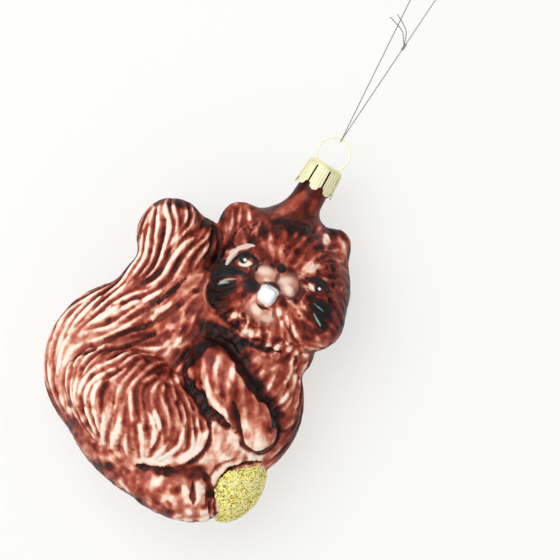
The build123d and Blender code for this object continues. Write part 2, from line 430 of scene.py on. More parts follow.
world = bpy.data.worlds.new("studio")
bpy.context.scene.world = world
world.use_nodes = True
tree = world.node_tree
tree.nodes.clear()
rays = add(tree, "ShaderNodeLightPath").outputs
seen = maths(tree, "MAXIMUM", rays["Is Camera Ray"], rays["Is Transmission Ray"])
level = maths(tree, "MULTIPLY_ADD", seen, WORLD_SEEN - WORLD_STRENGTH, WORLD_STRENGTH)
air = add(tree, "ShaderNodeBackground", {"Color": (*AIR, 1), "Strength": level})
add(tree, "ShaderNodeOutputWorld", {"Surface": air.outputs[0]})
bpy.context.scene.view_settings.view_transform = "Standard"

# %% [markdown]
# ## The forms of the blown figure
#
# Blown glass has no sharp edges: every limb swells out of the next. That is what a distance
# field does well, so the figure is a list of rounded forms whose distances are blended, with a
# wide blend where the mould is soft and a narrow one where it has a crease. A mesh is then drawn
# over the field. Modelling each limb as a mesh and joining them would leave seams.

# %% List the forms
# Each form: its middle, its half sizes, its lean in degrees clockwise, and how widely it blends
# with what comes before it.
FORMS = {
    "head": ((5.6, -0.9, -29.8), (18.8, 15.5, 17.7), 8, 1.0),
    "left_ear": ((-12.3, -0.5, -22.5), (5.5, 4.5, 7.1), -24, 3.0),
    "right_ear": ((11.6, -0.5, -16.9), (5.9, 4.5, 7.8), 16, 3.0),
    "left_cheek": ((-5.0, -7.8, -36.6), (8.5, 7.0, 7.0), 20, 2.0),
    "right_cheek": ((17.1, -7.0, -35.1), (8.9, 7.4, 7.4), -25, 4.5),
    "snout": ((3.7, -12.0, -29.9), (7.2, 5.4, 6.0), 0, 2.4),
    "chin": ((4.2, -11.6, -38.9), (5.0, 4.8, 3.7), 0, 2.0),
    "collar": ((4.2, -0.9, -43.8), (18.9, 11.5, 9.6), 2, 2.5),
    "shoulder": ((-9.3, -0.8, -50.6), (17.0, 10.5, 16.0), 0, 3.0),
    "chest": ((6.2, -1.1, -65.2), (23.1, 13.5, 23.0), 0, 3.0),
    "belly": ((-3.3, -1.2, -80.2), (28.4, 14.5, 19.3), 5, 3.0),
    "tail_foot": ((-20.1, 0.7, -69.5), (22.0, 11.5, 22.9), 5, 2.0),
    "tail_waist": ((-22.4, 0.5, -47.5), (10.7, 8.5, 18.0), 12, 2.4),
    "tail_tip": ((-27.0, 0.4, -33.2), (9.3, 7.5, 10.0), -20, 3.0),
    "tail_lobe": ((-20.4, 0.4, -33.8), (8.2, 6.5, 9.5), 8, 1.5),
    "haunch": ((-11.1, -7.9, -77.1), (22.0, 12.0, 14.2), 4, 0.9),
    "far_haunch": ((-11.1, 7.0, -77.1), (22.0, 9.0, 14.2), 4, 0.9),
    "arm": ((7.6, -11.8, -60.9), (16.2, 6.0, 7.3), 27, 0.9),
    "paw": ((19.2, -11.6, -65.8), (5.1, 5.3, 6.9), -30, 1.6),
    "foot": ((7.2, -7.2, -92.2), (14.4, 8.0, 7.2), -7, 0.9),
    "acorn_cup": ((21.5, -1.6, -82.9), (6.3, 9.4, 8.2), 12, 0.7),
    "left_lip": ((0.6, -15.5, -30.1), (3.3, 2.4, 2.7), 12, 2.0),
    "right_lip": ((6.8, -15.3, -29.3), (3.6, 2.5, 3.0), -12, 2.0),
    "nose": ((3.4, -16.8, -26.4), (1.5, 1.3, 1.3), 0, 0.6),
    "left_eye": ((-6.4, -11.5, -29.2), (2.6, 1.8, 1.9), 30, 0.6),
    "right_eye": ((14.2, -13.4, -26.0), (2.6, 1.8, 1.8), -10, 0.6),
}
MOUTH = ((3.7, -19.5, -34.2), (4.0, 4.6, 3.5), 0)
TOOTH = ((3.55, -15.3, -34.2), (2.2, 1.9, 2.3), 1.2)
NUT = ((20.8, -1.9, -82.9), (7.8, 9.5, 10.7), 3)
# The nut shows past two lines, each a place on it and the way it faces.
NUT_LIMITS = [((22.6, -94.1), (-0.857, -0.516)), ((18.0, -80.5), (-0.630, 0.776))]
NECK_ROOT = -6.05
FLARE_FOOT = -15.55
NECK_FOOT = -21.5
NECK_RADIUS = 4.0
NECK_TAPER = 0.4
FLARE_SPREAD = 5.3
FLARE_BEND = 1.9
FLARE_SHARE = 0.85  # of the level gap to the flare, how far it is straight across
BORE_RADIUS = 3.25
BORE_FOOT = -15.0
# How widely the neck, the mouth, the tooth and the nut blend with the forms.
NECK_BLEND = 4.6
MOUTH_BLEND = 0.5
TOOTH_BLEND = 0.15
NUT_BLEND = 0.4
print("forms:", len(FORMS))

# %% [markdown]
# ## Distances
#
# A distance field gives, for any point, how far it is outside the surface (inside is negative).
# These few functions give the distance to one rounded form and to the neck, and blend two of
# them. The blend is the polynomial kind, which leaves each form untouched away from the joint.

# %% Distance functions
def form_distance(middle, halves, lean, x, y, z):
    """Distance to one rounded form, close to exact near its surface."""
    turn = math.radians(lean)
    right = (x - middle[0]) * math.cos(turn) - (z - middle[2]) * math.sin(turn)
    up = (x - middle[0]) * math.sin(turn) + (z - middle[2]) * math.cos(turn)
    back = y - middle[1]
    a, b, c = halves
    reach = np.sqrt((right / a) ** 2 + (back / b) ** 2 + (up / c) ** 2)
    slope = np.sqrt((right / a**2) ** 2 + (back / b**2) ** 2 + (up / c**2) ** 2)
    return reach * (reach - 1) / np.maximum(slope, 1e-6)


def block_distance(middle, halves, rounding, x, y, z):
    """Distance to a block with rounded edges."""
    out = [
        np.abs(value - centre) - half + rounding
        for value, centre, half in zip((x, y, z), middle, halves)
    ]
    outside = np.sqrt(sum(np.maximum(value, 0) ** 2 for value in out))
    inside = np.minimum(np.maximum(np.maximum(out[0], out[1]), out[2]), 0)
    return outside + inside - rounding


def nut_distance(x, y, z):
    """Distance to the nut's shown part."""
    total = form_distance(*NUT, x, y, z)
    for place, way in NUT_LIMITS:
        total = np.maximum(total, (x - place[0]) * way[0] + (z - place[1]) * way[1])
    return total


def neck_distance(x, y, z):
    """Distance to the neck and its flare, without its bore."""
    radius = np.sqrt(x * x + y * y)
    taper = np.clip((NECK_RIM - z) / (NECK_RIM - NECK_ROOT), 0, 1)
    flare = np.clip((NECK_ROOT - z) / (NECK_ROOT - FLARE_FOOT), 0, 1)
    wall = NECK_RADIUS + NECK_TAPER * taper + FLARE_SPREAD * flare**FLARE_BEND
    side = (radius - wall) * FLARE_SHARE
    return np.maximum(np.maximum(side, z - NECK_RIM), NECK_FOOT - z)


def blend(first, second, reach):
    """The nearer of two distances, rounded over where they meet."""
    share = np.maximum(reach - np.abs(first - second), 0) / reach
    return np.minimum(first, second) - share * share * reach / 4


def figure_distance(x, y, z, with_nut=True):
    """Distance to the whole figure, and the number of the form that is nearest."""
    total = form_distance(*FORMS["head"][:3], x, y, z)
    nearest = total.copy()
    owner = np.zeros(total.shape, np.int16)
    for number, (middle, halves, lean, reach) in enumerate(FORMS.values()):
        if number:
            own = form_distance(middle, halves, lean, x, y, z)
            total = blend(total, own, reach)
            owner[own < nearest] = number
            nearest = np.minimum(nearest, own)
    neck = neck_distance(x, y, z)
    total = blend(total, neck, NECK_BLEND)
    owner[neck < nearest] = len(FORMS)
    nearest = np.minimum(nearest, neck)
    mouth = form_distance(*MOUTH, x, y, z)
    total = -blend(-total, mouth, MOUTH_BLEND)
    total = blend(total, block_distance(*TOOTH, x, y, z), TOOTH_BLEND)
    if with_nut:
        nut = nut_distance(x, y, z)
        total = blend(total, nut, NUT_BLEND)
        owner[nut < nearest] = len(FORMS) + 1
    bore = np.maximum(np.sqrt(x * x + y * y) - BORE_RADIUS, BORE_FOOT - z)
    return np.maximum(total, -bore), owner


# %% [markdown]
# ## A skin over the field
#
# The field is sampled on a grid and turned into a mesh of even quads. The grid is finer than
# the fur, so the grooves can be pressed into the mesh itself and not only painted on. The face
# is divided once more, because its painted lines are thinner than the fur.

# %% Mesh a distance field
SKIN_PITCH = 0.46  # mm
FIELD_LIMIT = 1.6


def mesh_of_field(field, low, pitch):
    """Points in figure millimetres, and quads, over the zero surface of the field."""
    grid = openvdb.FloatGrid(FIELD_LIMIT)
    grid.copyFromArray(np.ascontiguousarray(np.clip(field, -FIELD_LIMIT, FIELD_LIMIT), np.float32))
    points, _, quads = grid.convertToPolygons(0.0, 0.0)
    points = points * pitch + np.asarray(low)
    faces = quads.astype(int)
    corners = points[faces]
    across = np.cross(corners[:, 1] - corners[:, 0], corners[:, 3] - corners[:, 0])
    volume = (across * corners[:, 0]).sum()
    return points, faces if volume > 0 else faces[:, ::-1]


def sampled(low, high, pitch):
    """Open axes of a grid from the low to the high corner."""
    axes = [np.arange(a, b, pitch) for a, b in zip(low, high)]
    return np.ix_(*axes)


field_low = (-44.5, -22.5, -103.0)
field_high = (31.5, 18.5, 5.0)
skin_field, _ = figure_distance(*sampled(field_low, field_high, SKIN_PITCH))
skin_points, skin_faces = mesh_of_field(skin_field, field_low, SKIN_PITCH)
print("skin quads:", len(skin_faces))

# %% Divide the face once more
FACE_LOW = (-15.0, -30.0, -46.5)
FACE_HIGH = (24.0, -7.0, -12.0)


def refined(points, faces, low, high):
    """The mesh with every edge inside the box cut in two."""
    mesh = bpy.data.meshes.new("skin")
    mesh.from_pydata(points.tolist(), [], faces.tolist())
    work = bmesh.new()
    work.from_mesh(mesh)
    inside = {v for v in work.verts if all(a < c < b for a, c, b in zip(low, v.co, high))}
    edges = [e for e in work.edges if e.verts[0] in inside and e.verts[1] in inside]
    bmesh.ops.subdivide_edges(work, edges=edges, cuts=1, use_grid_fill=True)
    work.to_mesh(mesh)
    work.free()
    return mesh


skin_mesh = refined(skin_points, skin_faces, FACE_LOW, FACE_HIGH)
skin = np.empty(len(skin_mesh.vertices) * 3)
skin_mesh.vertices.foreach_get("co", skin)
skin = skin.reshape(-1, 3)
print("skin points:", len(skin))

# %% Settle the points on the field and read its slope
SLOPE_STEP = 0.06
SETTLE_LIMIT = 0.3
# How far the slope is turned forward or back where the front or the back begins and is whole.
SIDE_BEGINS = -0.1
SIDE_WHOLE = 0.25


def slope(points):
    """Unit outward direction of the field at the points."""
    result = np.empty_like(points)
    for axis in range(3):
        step = np.zeros(3)
        step[axis] = SLOPE_STEP
        ahead, _ = figure_distance(*(points + step).T)
        behind, _ = figure_distance(*(points - step).T)
        result[:, axis] = ahead - behind
    return result / np.maximum(np.linalg.norm(result, axis=1, keepdims=True), 1e-9)


distance, _ = figure_distance(*skin.T)
outward = slope(skin)
skin = skin - outward * np.clip(distance, -SETTLE_LIMIT, SETTLE_LIMIT)[:, None]
_, owner = figure_distance(*skin.T)
outward = slope(skin)
front = smooth_step(-outward[:, 1], SIDE_BEGINS, SIDE_WHOLE)
back = smooth_step(outward[:, 1], SIDE_BEGINS, SIDE_WHOLE)
form_names = [*FORMS, "neck", "nut"]
print("most of the skin is:", form_names[np.bincount(owner).argmax()])

# %% [markdown]
# ## Which way the fur lies
#
# The mould's fur is cut as long lens-shaped grooves that follow the body. A few arrows on each
# form say which way it lies, and the direction between them is their weighted mean. The mean is
# taken of doubled angles, because a stroke has no front or back end.

# %% Arrows on each coat
# Forms that share one coat of fur; every other form has its own.
COATS = {
    "tail_foot": "tail", "tail_waist": "tail", "tail_tip": "tail", "tail_lobe": "tail",
    "far_haunch": "haunch", "head": "face", "left_cheek": "face", "right_cheek": "face",
    "snout": "face", "chin": "face",
}
# Each arrow: where it is, and the way it points, both as right and up.
FUR_ARROWS = {
    "left_ear": [(-15, -20, 3, -8), (-11, -21, 4, -7), (-12, -27, 3, -8)],
    "right_ear": [(10, -13, 3, -7), (15, -16, 4, -7), (13, -20, 4, -6)],
    "collar": [(-12, -45, 7, -4), (-2, -45.4, -3, -9), (4, -45.8, 0, -10), (10, -45.6, 3, -9),
               (-2, -48.4, 10, -2), (6, -49, 2, -9), (12, -50, -1, -10), (19, -46, 2, -9),
               (23, -44, 2, -9)],
    "shoulder": [(-13, -46, -2, -10), (-16, -54, -4, -9), (-10, -60, -2, -10),
                 (-5, -50, 3, -9), (-8, -54, -1, -10)],
    "chest": [(10, -50, -2, -10), (17, -52, -3, -10), (24, -52, -2, -10), (27, -62, -3, -10),
              (27, -69, -4, -9), (22, -77, -1, -10), (-6, -62, -2, -10), (12, -76, 1, -10)],
    "belly": [(-22, -94, 9, -3), (-8, -97, 9, -1), (13, -77, 1, -10), (18, -93, 8, 3),
              (12, -84, 2, -10)],
    "tail": [(-33, -28, 5, -9), (-29, -28, 5, -9), (-24, -27, 2, -10), (-22, -27, -1, -10),
             (-34, -36, 4, -10), (-27, -40, 1, -10), (-20, -31, -1, -10), (-16, -34, -1, -10),
             (-21, -40, -3, -10), (-14.5, -27, 3, -10), (-29, -45, 0, -10), (-32, -47, -1, -10),
             (-26, -50, -4, -9), (-20, -48, -5, -8), (-22, -56, -6, -8), (-33, -54, -3, -10),
             (-27, -58, -6, -8), (-36, -62, -3, -10), (-30, -62, -6, -8), (-24, -63, -7, -7),
             (-40, -72, 1, -10), (-34, -70, -3, -10), (-38, -80, 3, -10), (-33, -87, 7, -6),
             (-24, -92, 9, -3), (-30, -78, -1, -10), (-18, -60, -6, -8)],
    "haunch": [(-24, -71, -3, -9), (-30, -80, 1, -10), (-15, -67, -3, -9), (-19, -80, 3, -10),
               (-26, -84, 4, -9), (-10, -77, 5, -8), (-8, -87, 4, -9), (-3, -71, 7, -7),
               (0, -78, 6, -8), (5, -76, 5, -9), (4, -84, 0, -10), (-2, -85, 3, -10)],
    "arm": [(-2, -56, 1, -10), (3, -58, 4, -9), (8, -62, 5, -9), (11, -66, 6, -8),
            (4, -66, 5, -8), (9, -57, 6, -7)],
    "paw": [(15, -62, 6, -8), (18, -68, 3, -10)],
    "foot": [(3, -92, 2, -9), (12, -90, 4, -9), (17, -91, 3, -9), (6, -97, 1, -9)],
    "acorn_cup": [(16, -84, 3, 9), (17, -79, 5, 7), (22, -76, 8, 4)],
}
ARROW_AREA = 6.0  # square millimetres within which an arrow rules alone
FACE_CENTRE = (3.5, -28.5)
FACE_TURNS = (-3.0, 1.0)  # from here to here, going back, the face's fur turns down
BARE_FORMS = ("left_lip", "right_lip", "nose", "left_eye", "right_eye", "neck", "nut")
form_coats = [COATS.get(name, name) for name in form_names]
coat_names = sorted(set(form_coats))
coat_of = np.array([coat_names.index(name) for name in form_coats])


def nearness(places, centres, area):
    """How much each centre counts at each place, far more beside it than further off."""
    gap = places[:, None] - centres[None]
    return 1 / ((gap**2).sum(2) + area) ** 2


def lie_of_fur(places, depths, coats):
    """Unit direction of the fur as seen from the front, at places given as right and up."""
    flat = np.zeros((len(places), 2))
    flat[:, 1] = -1
    for number, name in enumerate(coat_names):
        chosen = coats == number
        if not chosen.any():
            continue
        if name == "face":
            away = places[chosen] - np.array(FACE_CENTRE)
            down = np.array([0.0, -1.0])
            on_back = smooth_step(depths[chosen], *FACE_TURNS)[:, None]
            away /= np.maximum(np.linalg.norm(away, axis=1, keepdims=True), 1e-6)
            flat[chosen] = away * (1 - on_back) + down * on_back
        elif name in FUR_ARROWS:
            arrows = np.array(FUR_ARROWS[name], float)
            weight = nearness(places[chosen], arrows[:, :2], ARROW_AREA)
            angle = 2 * np.arctan2(arrows[:, 3], arrows[:, 2])
            double = np.arctan2(weight @ np.sin(angle), weight @ np.cos(angle))
            flat[chosen] = np.stack([np.cos(double / 2), np.sin(double / 2)], 1)
    return flat


def fur_direction(points, coats, normals):
    """Unit direction of the fur along the surface, at the points."""
    flat = lie_of_fur(points[:, [0, 2]], points[:, 1], coats)
    along = np.stack([flat[:, 0], np.zeros(len(flat)), flat[:, 1]], 1)
    along -= normals * (along * normals).sum(1, keepdims=True)
    return along / np.maximum(np.linalg.norm(along, axis=1, keepdims=True), 1e-6)


print("coats:", coat_names)

# %% [markdown]
# ## Streaks that the brush left
#
# A brush and a cloth leave streaks that run with the fur, each a little different. Plain noise
# has no direction, so a soft random cloud is smeared along the fur instead: every point takes
# the mean of the cloud over a short walk each way. Three sizes of cloud are put together, and
# every coat sets the width, the length and the strength of its own streaks.

# %% Streaks of a random cloud
# Each coat: how wide its streaks are and how far they run each way, in millimetres, and how
# strongly they show.
STREAKS = {
    "tail": (0.9, 7.5, 0.5),
    "haunch": (1.1, 6.5, 0.5),
    "face": (1.1, 2.4, 0.5),
    "arm": (1.4, 5.0, 0.7),
    "paw": (1.7, 2.5, 0.4),
    "foot": (1.15, 0.8, 1.0),
    "belly": (1.15, 0.9, 0.9),
    "chest": (0.95, 2.6, 0.45),
    "collar": (0.95, 2.4, 0.9),
    "shoulder": (1.1, 4.0, 0.8),
    "left_ear": (0.9, 5.0, 0.5),
    "right_ear": (1.0, 4.0, 0.8),
    "acorn_cup": (1.3, 1.5, 0.6),
}
OTHER_STREAKS = (1.2, 1.0, 0.3)
# Each cloud: its size and its reach, as shares of the coat's own, and how much it counts.
STREAK_CLOUDS = ((1.0, 1.0, 1.1), (2.4, 1.0, -0.7), (0.5, 0.5, 0.55))
CLOUD_SEED = 21
CLOUD_CELLS = 48
STREAK_STEP = 0.5
LEAST_STREAK = 1.6  # skin pitches, so that the mesh can carry it
DEPTH_SHARE = 0.12  # how little the cloud changes from front to back
cloud_cells = np.random.default_rng(CLOUD_SEED).random((CLOUD_CELLS,) * 3)
streak_settings = np.array([STREAKS.get(name, OTHER_STREAKS) for name in coat_names])


def soft_cloud(points):
    """A soft random value at each point, from a lattice of random numbers that repeats."""
    base = np.floor(points).astype(int)
    share = points - base
    share = share * share * (3 - 2 * share)
    total = np.zeros(len(points))
    for corner in np.ndindex(2, 2, 2):
        index = (base + corner) % CLOUD_CELLS
        weight = np.where(corner, share, 1 - share).prod(1)
        total += weight * cloud_cells[index[:, 0], index[:, 1], index[:, 2]]
    return total


def streaked(size_share, reach_share):
    """The cloud smeared along the fur, about -1 in a hollow and 1 on a crest."""
    coats = coat_of[owner]
    settings = streak_settings[coats]
    size = np.maximum(settings[:, :1] * size_share, SKIN_PITCH * LEAST_STREAK)
    reach = settings[:, 1] * reach_share
    total = np.zeros(len(skin))
    share_sum = np.zeros(len(skin))
    for sign in (-1, 1):
        here = skin[:, [0, 2]].copy()
        heading = lie_of_fur(here, skin[:, 1], coats) * sign
        for step in range(int(reach.max() / STREAK_STEP) + 1):
            point = np.stack([here[:, 0], skin[:, 1] * DEPTH_SHARE, here[:, 1]], 1)
            share = np.clip(1 - step * STREAK_STEP / reach, 0, 1)
            total += share * soft_cloud(point / size)
            share_sum += share
            here = here + heading * STREAK_STEP
            turn = lie_of_fur(here, skin[:, 1], coats)
            heading = turn * np.where((turn * heading).sum(1, keepdims=True) < 0, -1, 1)
    value = total / share_sum
    for number in range(len(coat_names)):
        chosen = coats == number
        if chosen.any():
            spread = max(value[chosen].std(), 1e-6)
            value[chosen] = (value[chosen] - value[chosen].mean()) / spread
    return value


streak_sum = sum(weight * streaked(size, reach) for size, reach, weight in STREAK_CLOUDS)
flow = np.tanh(streak_sum) * streak_settings[coat_of[owner], 2]
print("share on a crest:", round(float((flow > 0.5).mean()), 2))

# %% [markdown]
# ## Grooves and ridges that follow the fur
#
# Many seeds are scattered on the skin with a fixed random seed, and all of them walk along the
# fur in both directions at once. Then they are taken one after another: a stroke is kept only
# while it stays clear of those already kept. That gives the even, staggered cut of a hand-made
# mould, which a noise pattern doesn't. The first strokes are grooves, where the lacquer pools.
# The second ones lie between them and are ridges, where it was wiped off.

# %% How the fur is cut on each form
# Each cut: how far apart the grooves lie, in millimetres, and the least and greatest number of
# steps that a groove runs each way.
LONG_FUR = (2.05, 14, 34)
CURVED_FUR = (2.05, 6, 17)
FACE_FUR = (2.4, 4, 10)
FUR_CUT = {
    "tail": LONG_FUR,
    "haunch": CURVED_FUR,
    "shoulder": (2.3, 5, 14),
    "arm": (2.7, 6, 14),
    "belly": (2.7, 4, 10),
    "foot": (3.1, 1, 5),
    "left_ear": (2.4, 8, 16),
    "right_ear": (2.4, 6, 12),
    "chest": (2.0, 4, 9),
    "collar": (2.3, 3, 7),
    "acorn_cup": (2.6, 3, 8),
}


def cut_of(coat):
    """How the fur is cut on a coat, by its number."""
    return FUR_CUT.get(coat_names[coat], FACE_FUR)


print("gaps between grooves, mm:", [cut_of(coat)[0] for coat in range(len(coat_names))])

# %% Walk along the fur
SEED_COUNT = 7000
WALK_STEP = 0.5  # mm
WALK_STEPS = 34  # each way
WANDER = 0.16  # radians
# Each wave: how fast it swings to the right, back and up, and where in its swing it starts.
WAVES = ((0.31, 0.17, 0.23, 0.4), (-0.14, 0.29, 0.36, 2.1), (0.47, -0.21, -0.11, 4.4))
STROKE_SEED = 8
chance = np.random.default_rng(STROKE_SEED)

tree_of_skin = KDTree(len(skin))
for number, point in enumerate(skin):
    tree_of_skin.insert(point, number)
tree_of_skin.balance()


def wandering(points, along, normals):
    """The fur's direction, turned a little by slow waves, as a hand-cut line strays."""
    swing = sum(np.sin(points @ np.array(wave[:3]) + wave[3]) for wave in WAVES) * WANDER
    beside = np.cross(normals, along)
    return along * np.cos(swing)[:, None] + beside * np.sin(swing)[:, None]


def walk(points, coats, sign):
    """Each point's path along the fur, and how many of its steps stay on its own coat."""
    here = points.copy()
    steps = [here]
    length = np.zeros(len(here), int)
    going = np.ones(len(here), bool)
    normals = slope(here)
    heading = wandering(here, fur_direction(here, coats, normals), normals) * sign
    for count in range(WALK_STEPS):
        ahead = here + heading * WALK_STEP
        distance, reached = figure_distance(*ahead.T)
        ahead = ahead - normals * distance[:, None]
        normals = slope(ahead)
        turn = wandering(ahead, fur_direction(ahead, coats, normals), normals)
        turn *= np.where((turn * heading).sum(1, keepdims=True) < 0, -1, 1)
        going &= coat_of[reached] == coats
        length += going
        here, heading = ahead, turn
        steps.append(here)
    return np.stack(steps, 1), length


furred = np.flatnonzero(~np.isin(owner, [form_names.index(name) for name in BARE_FORMS]))


def walked_seeds(count):
    """Seeds on the fur, their coats, and their paths both ways."""
    seeds = chance.choice(furred, count, replace=False)
    places, coats = skin[seeds], coat_of[owner[seeds]]
    return places, coats, walk(places, coats, 1), walk(places, coats, -1)


print("skin points with fur:", len(furred))

# %% Keep the strokes that stay clear of each other
def keep_strokes(seeds, room, gap_share, side_share):
    """The strokes that stay clear of the room already taken, each a path and its coat."""
    places, coats, forward, backward = seeds
    kept = []
    for number in range(len(places)):
        gap, least, most = cut_of(coats[number])
        gap *= gap_share
        _, vertex, _ = tree_of_skin.find(places[number])
        if room[vertex] < gap:
            continue
        stroke = [places[number]]
        for steps, allowed in (forward, backward):
            half = int(chance.integers(least, most + 1))
            for step in range(1, min(half, allowed[number]) + 1):
                _, vertex, _ = tree_of_skin.find(steps[number, step])
                if room[vertex] < gap * side_share:
                    break
                stroke.append(steps[number, step])
            stroke.reverse()
        if len(stroke) < max(3, least // 2):
            continue
        kept.append((np.array(stroke), coats[number]))
        for point in stroke:
            for _, vertex, away in tree_of_skin.find_range(point, gap):
                room[vertex] = min(room[vertex], away)
    return kept


STROKE_CREST = 2.6  # how flat a stroke's middle is
STROKE_TIP = 0.3  # how wide its ends are, as a share of its middle
STROKE_BODY = 0.6  # how soon it grows to its full width: the less, the sooner
FREE = 99.0  # more room than any stroke asks for
# Grooves and ridges each: the gap between strokes, as a share of the cut's, and beside a stroke,
# as a share of that; then the least and greatest half width, as a share of the cut's gap, and
# the least and greatest depth.
GROOVE_GAPS = (1.0, 0.72)
GROOVE_SHAPE = (0.24, 0.40, 0.45, 1.0)
RIDGE_GAPS = (0.8, 0.62)
RIDGE_SHAPE = (0.26, 0.40, 0.6, 1.0)
GROOVE_REACH = 2.0  # how far from a groove its ridges are pushed away
GROOVE_PUSH = 1.75


def pressed_strokes(strokes, narrow, wide, shallow, deep):
    """How strongly each skin point lies in one of the strokes, from 0 to 1."""
    mark = np.zeros(len(skin))
    for stroke, coat in strokes:
        half_width = cut_of(coat)[0] * chance.uniform(narrow, wide)
        depth = chance.uniform(shallow, deep)
        for step, point in enumerate(stroke):
            share = (step + 0.5) / len(stroke)
            swell = math.sin(math.pi * share) ** STROKE_BODY
            radius = half_width * (STROKE_TIP + (1 - STROKE_TIP) * swell)
            for _, vertex, away in tree_of_skin.find_range(point, radius):
                mark[vertex] = max(mark[vertex], depth * (1 - (away / radius) ** STROKE_CREST))
    return mark


room = np.full(len(skin), FREE)
groove_strokes = keep_strokes(walked_seeds(SEED_COUNT), room, *GROOVE_GAPS)
groove = pressed_strokes(groove_strokes, *GROOVE_SHAPE)
room = np.full(len(skin), FREE)
for stroke, _ in groove_strokes:
    for point in stroke:
        for _, vertex, away in tree_of_skin.find_range(point, GROOVE_REACH):
            room[vertex] = min(room[vertex], away * GROOVE_PUSH)
ridge_strokes = keep_strokes(walked_seeds(SEED_COUNT), room, *RIDGE_GAPS)
ridge = pressed_strokes(ridge_strokes, *RIDGE_SHAPE)
print("grooves:", len(groove_strokes), "ridges:", len(ridge_strokes))
print("share in a groove:", round(float((groove > 0.2).mean()), 2),
      "on a ridge:", round(float((ridge > 0.2).mean()), 2))

# %% [markdown]
# ## Creases, airbrush and enamel
#
# The mould also has a few long creases round the limbs and the face. They are sprayed dark,
# partly as the maker's airbrush and partly as painted shade. The maker then painted the eyes,
# the nose, the whiskers and the tooth with a fine brush; some of the brush marks here are painted
# highlights and painted shade. Each crease or brush mark is a line through a few given places;
# its distance gives both how deep the skin is pressed in and how much paint it gets.

# %% Lines and spots on the skin
def line_distance(points, corners):
    """How far each point is from the line through the corners, and how far along it lies."""
    best = np.full(len(points), 1e9)
    along = np.zeros(len(points))
    corners = np.array(corners, float)
    pieces = np.linalg.norm(np.diff(corners, axis=0), axis=1)
    travelled = np.concatenate([[0], np.cumsum(pieces)]) / pieces.sum()
    for index, (start, end) in enumerate(zip(corners[:-1], corners[1:])):
        run = end - start
        share = np.clip(((points - start) @ run) / (run @ run), 0, 1)
        away = np.linalg.norm(points - start - share[:, None] * run, axis=1)
        nearer = away < best
        best = np.where(nearer, away, best)
        here = travelled[index] + share * (travelled[index + 1] - travelled[index])
        along = np.where(nearer, here, along)
    return best, along


CORNER_ROUNDS = 2
CORNER_CUT = 0.25  # the share of a stretch that is cut off at each of its corners


def rounded_line(corners):
    """The line with its corners cut off again and again, so that it bends evenly."""
    line = np.array(corners, float)
    for _ in range(CORNER_ROUNDS):
        ahead = line[:-1] * (1 - CORNER_CUT) + line[1:] * CORNER_CUT
        behind = line[:-1] * CORNER_CUT + line[1:] * (1 - CORNER_CUT)
        middle = np.stack([ahead, behind], 1).reshape(-1, 2)
        line = np.concatenate([line[:1], middle, line[-1:]])
    return line


WAVER_SIZE = 2.2  # mm
LINE_BODY = 0.65  # shares of the half width up to which a line is full, and where it ends
LINE_END = 1.35
LINE_TIP = 0.02  # the share of its length at each end where its width stays the same
flat_skin = skin[:, [0, 2]]
waver = soft_cloud(skin / WAVER_SIZE) - 0.5


def brush_line(corners, width, side, ends=0.5, uneven=0.0):
    """A mask of a line that thins towards its ends, on the front or the back."""
    line = rounded_line(corners)
    low, high = line.min(0) - 2 * width, line.max(0) + 2 * width
    near = ((flat_skin > low) & (flat_skin < high)).all(1) & (side > 0)
    mask = np.zeros(len(skin))
    away, along = line_distance(flat_skin[near], line)
    away = away + uneven * width * waver[near]
    swell = np.sin(np.pi * np.clip(along, LINE_TIP, 1 - LINE_TIP))
    radius = width / 2 * (ends + (1 - ends) * swell)
    mask[near] = smooth_step(-away, -radius * LINE_END, -radius * LINE_BODY) * side[near]
    return mask


def brush_spot(middle, halves, lean, side, soft=0.25):
    """A mask of an oval spot."""
    turn = math.radians(lean)
    gap = flat_skin - np.array(middle)
    right = gap[:, 0] * math.cos(turn) - gap[:, 1] * math.sin(turn)
    up = gap[:, 0] * math.sin(turn) + gap[:, 1] * math.cos(turn)
    reach = np.sqrt((right / halves[0]) ** 2 + (up / halves[1]) ** 2)
    return smooth_step(-reach, -1 - soft, -1 + soft) * side


print("spread of the line's waver:", round(float(waver.std()), 2))

# %% Even out a mask
skin_edges = np.zeros(2 * len(skin_mesh.edges), int)
skin_mesh.edges.foreach_get("vertices", skin_edges)
skin_edges = skin_edges.reshape(-1, 2)
edge_starts, edge_ends = np.concatenate([skin_edges, skin_edges[:, ::-1]]).T
edge_count = np.maximum(np.bincount(edge_starts, minlength=len(skin)), 1)


def softened(values, passes):
    """The values, evened out between the points that share an edge."""
    for _ in range(passes):
        around = np.bincount(edge_starts, weights=values[edge_ends], minlength=len(skin))
        values = 0.5 * values + 0.5 * around / edge_count
    return values


print("edges of the skin:", len(skin_edges))
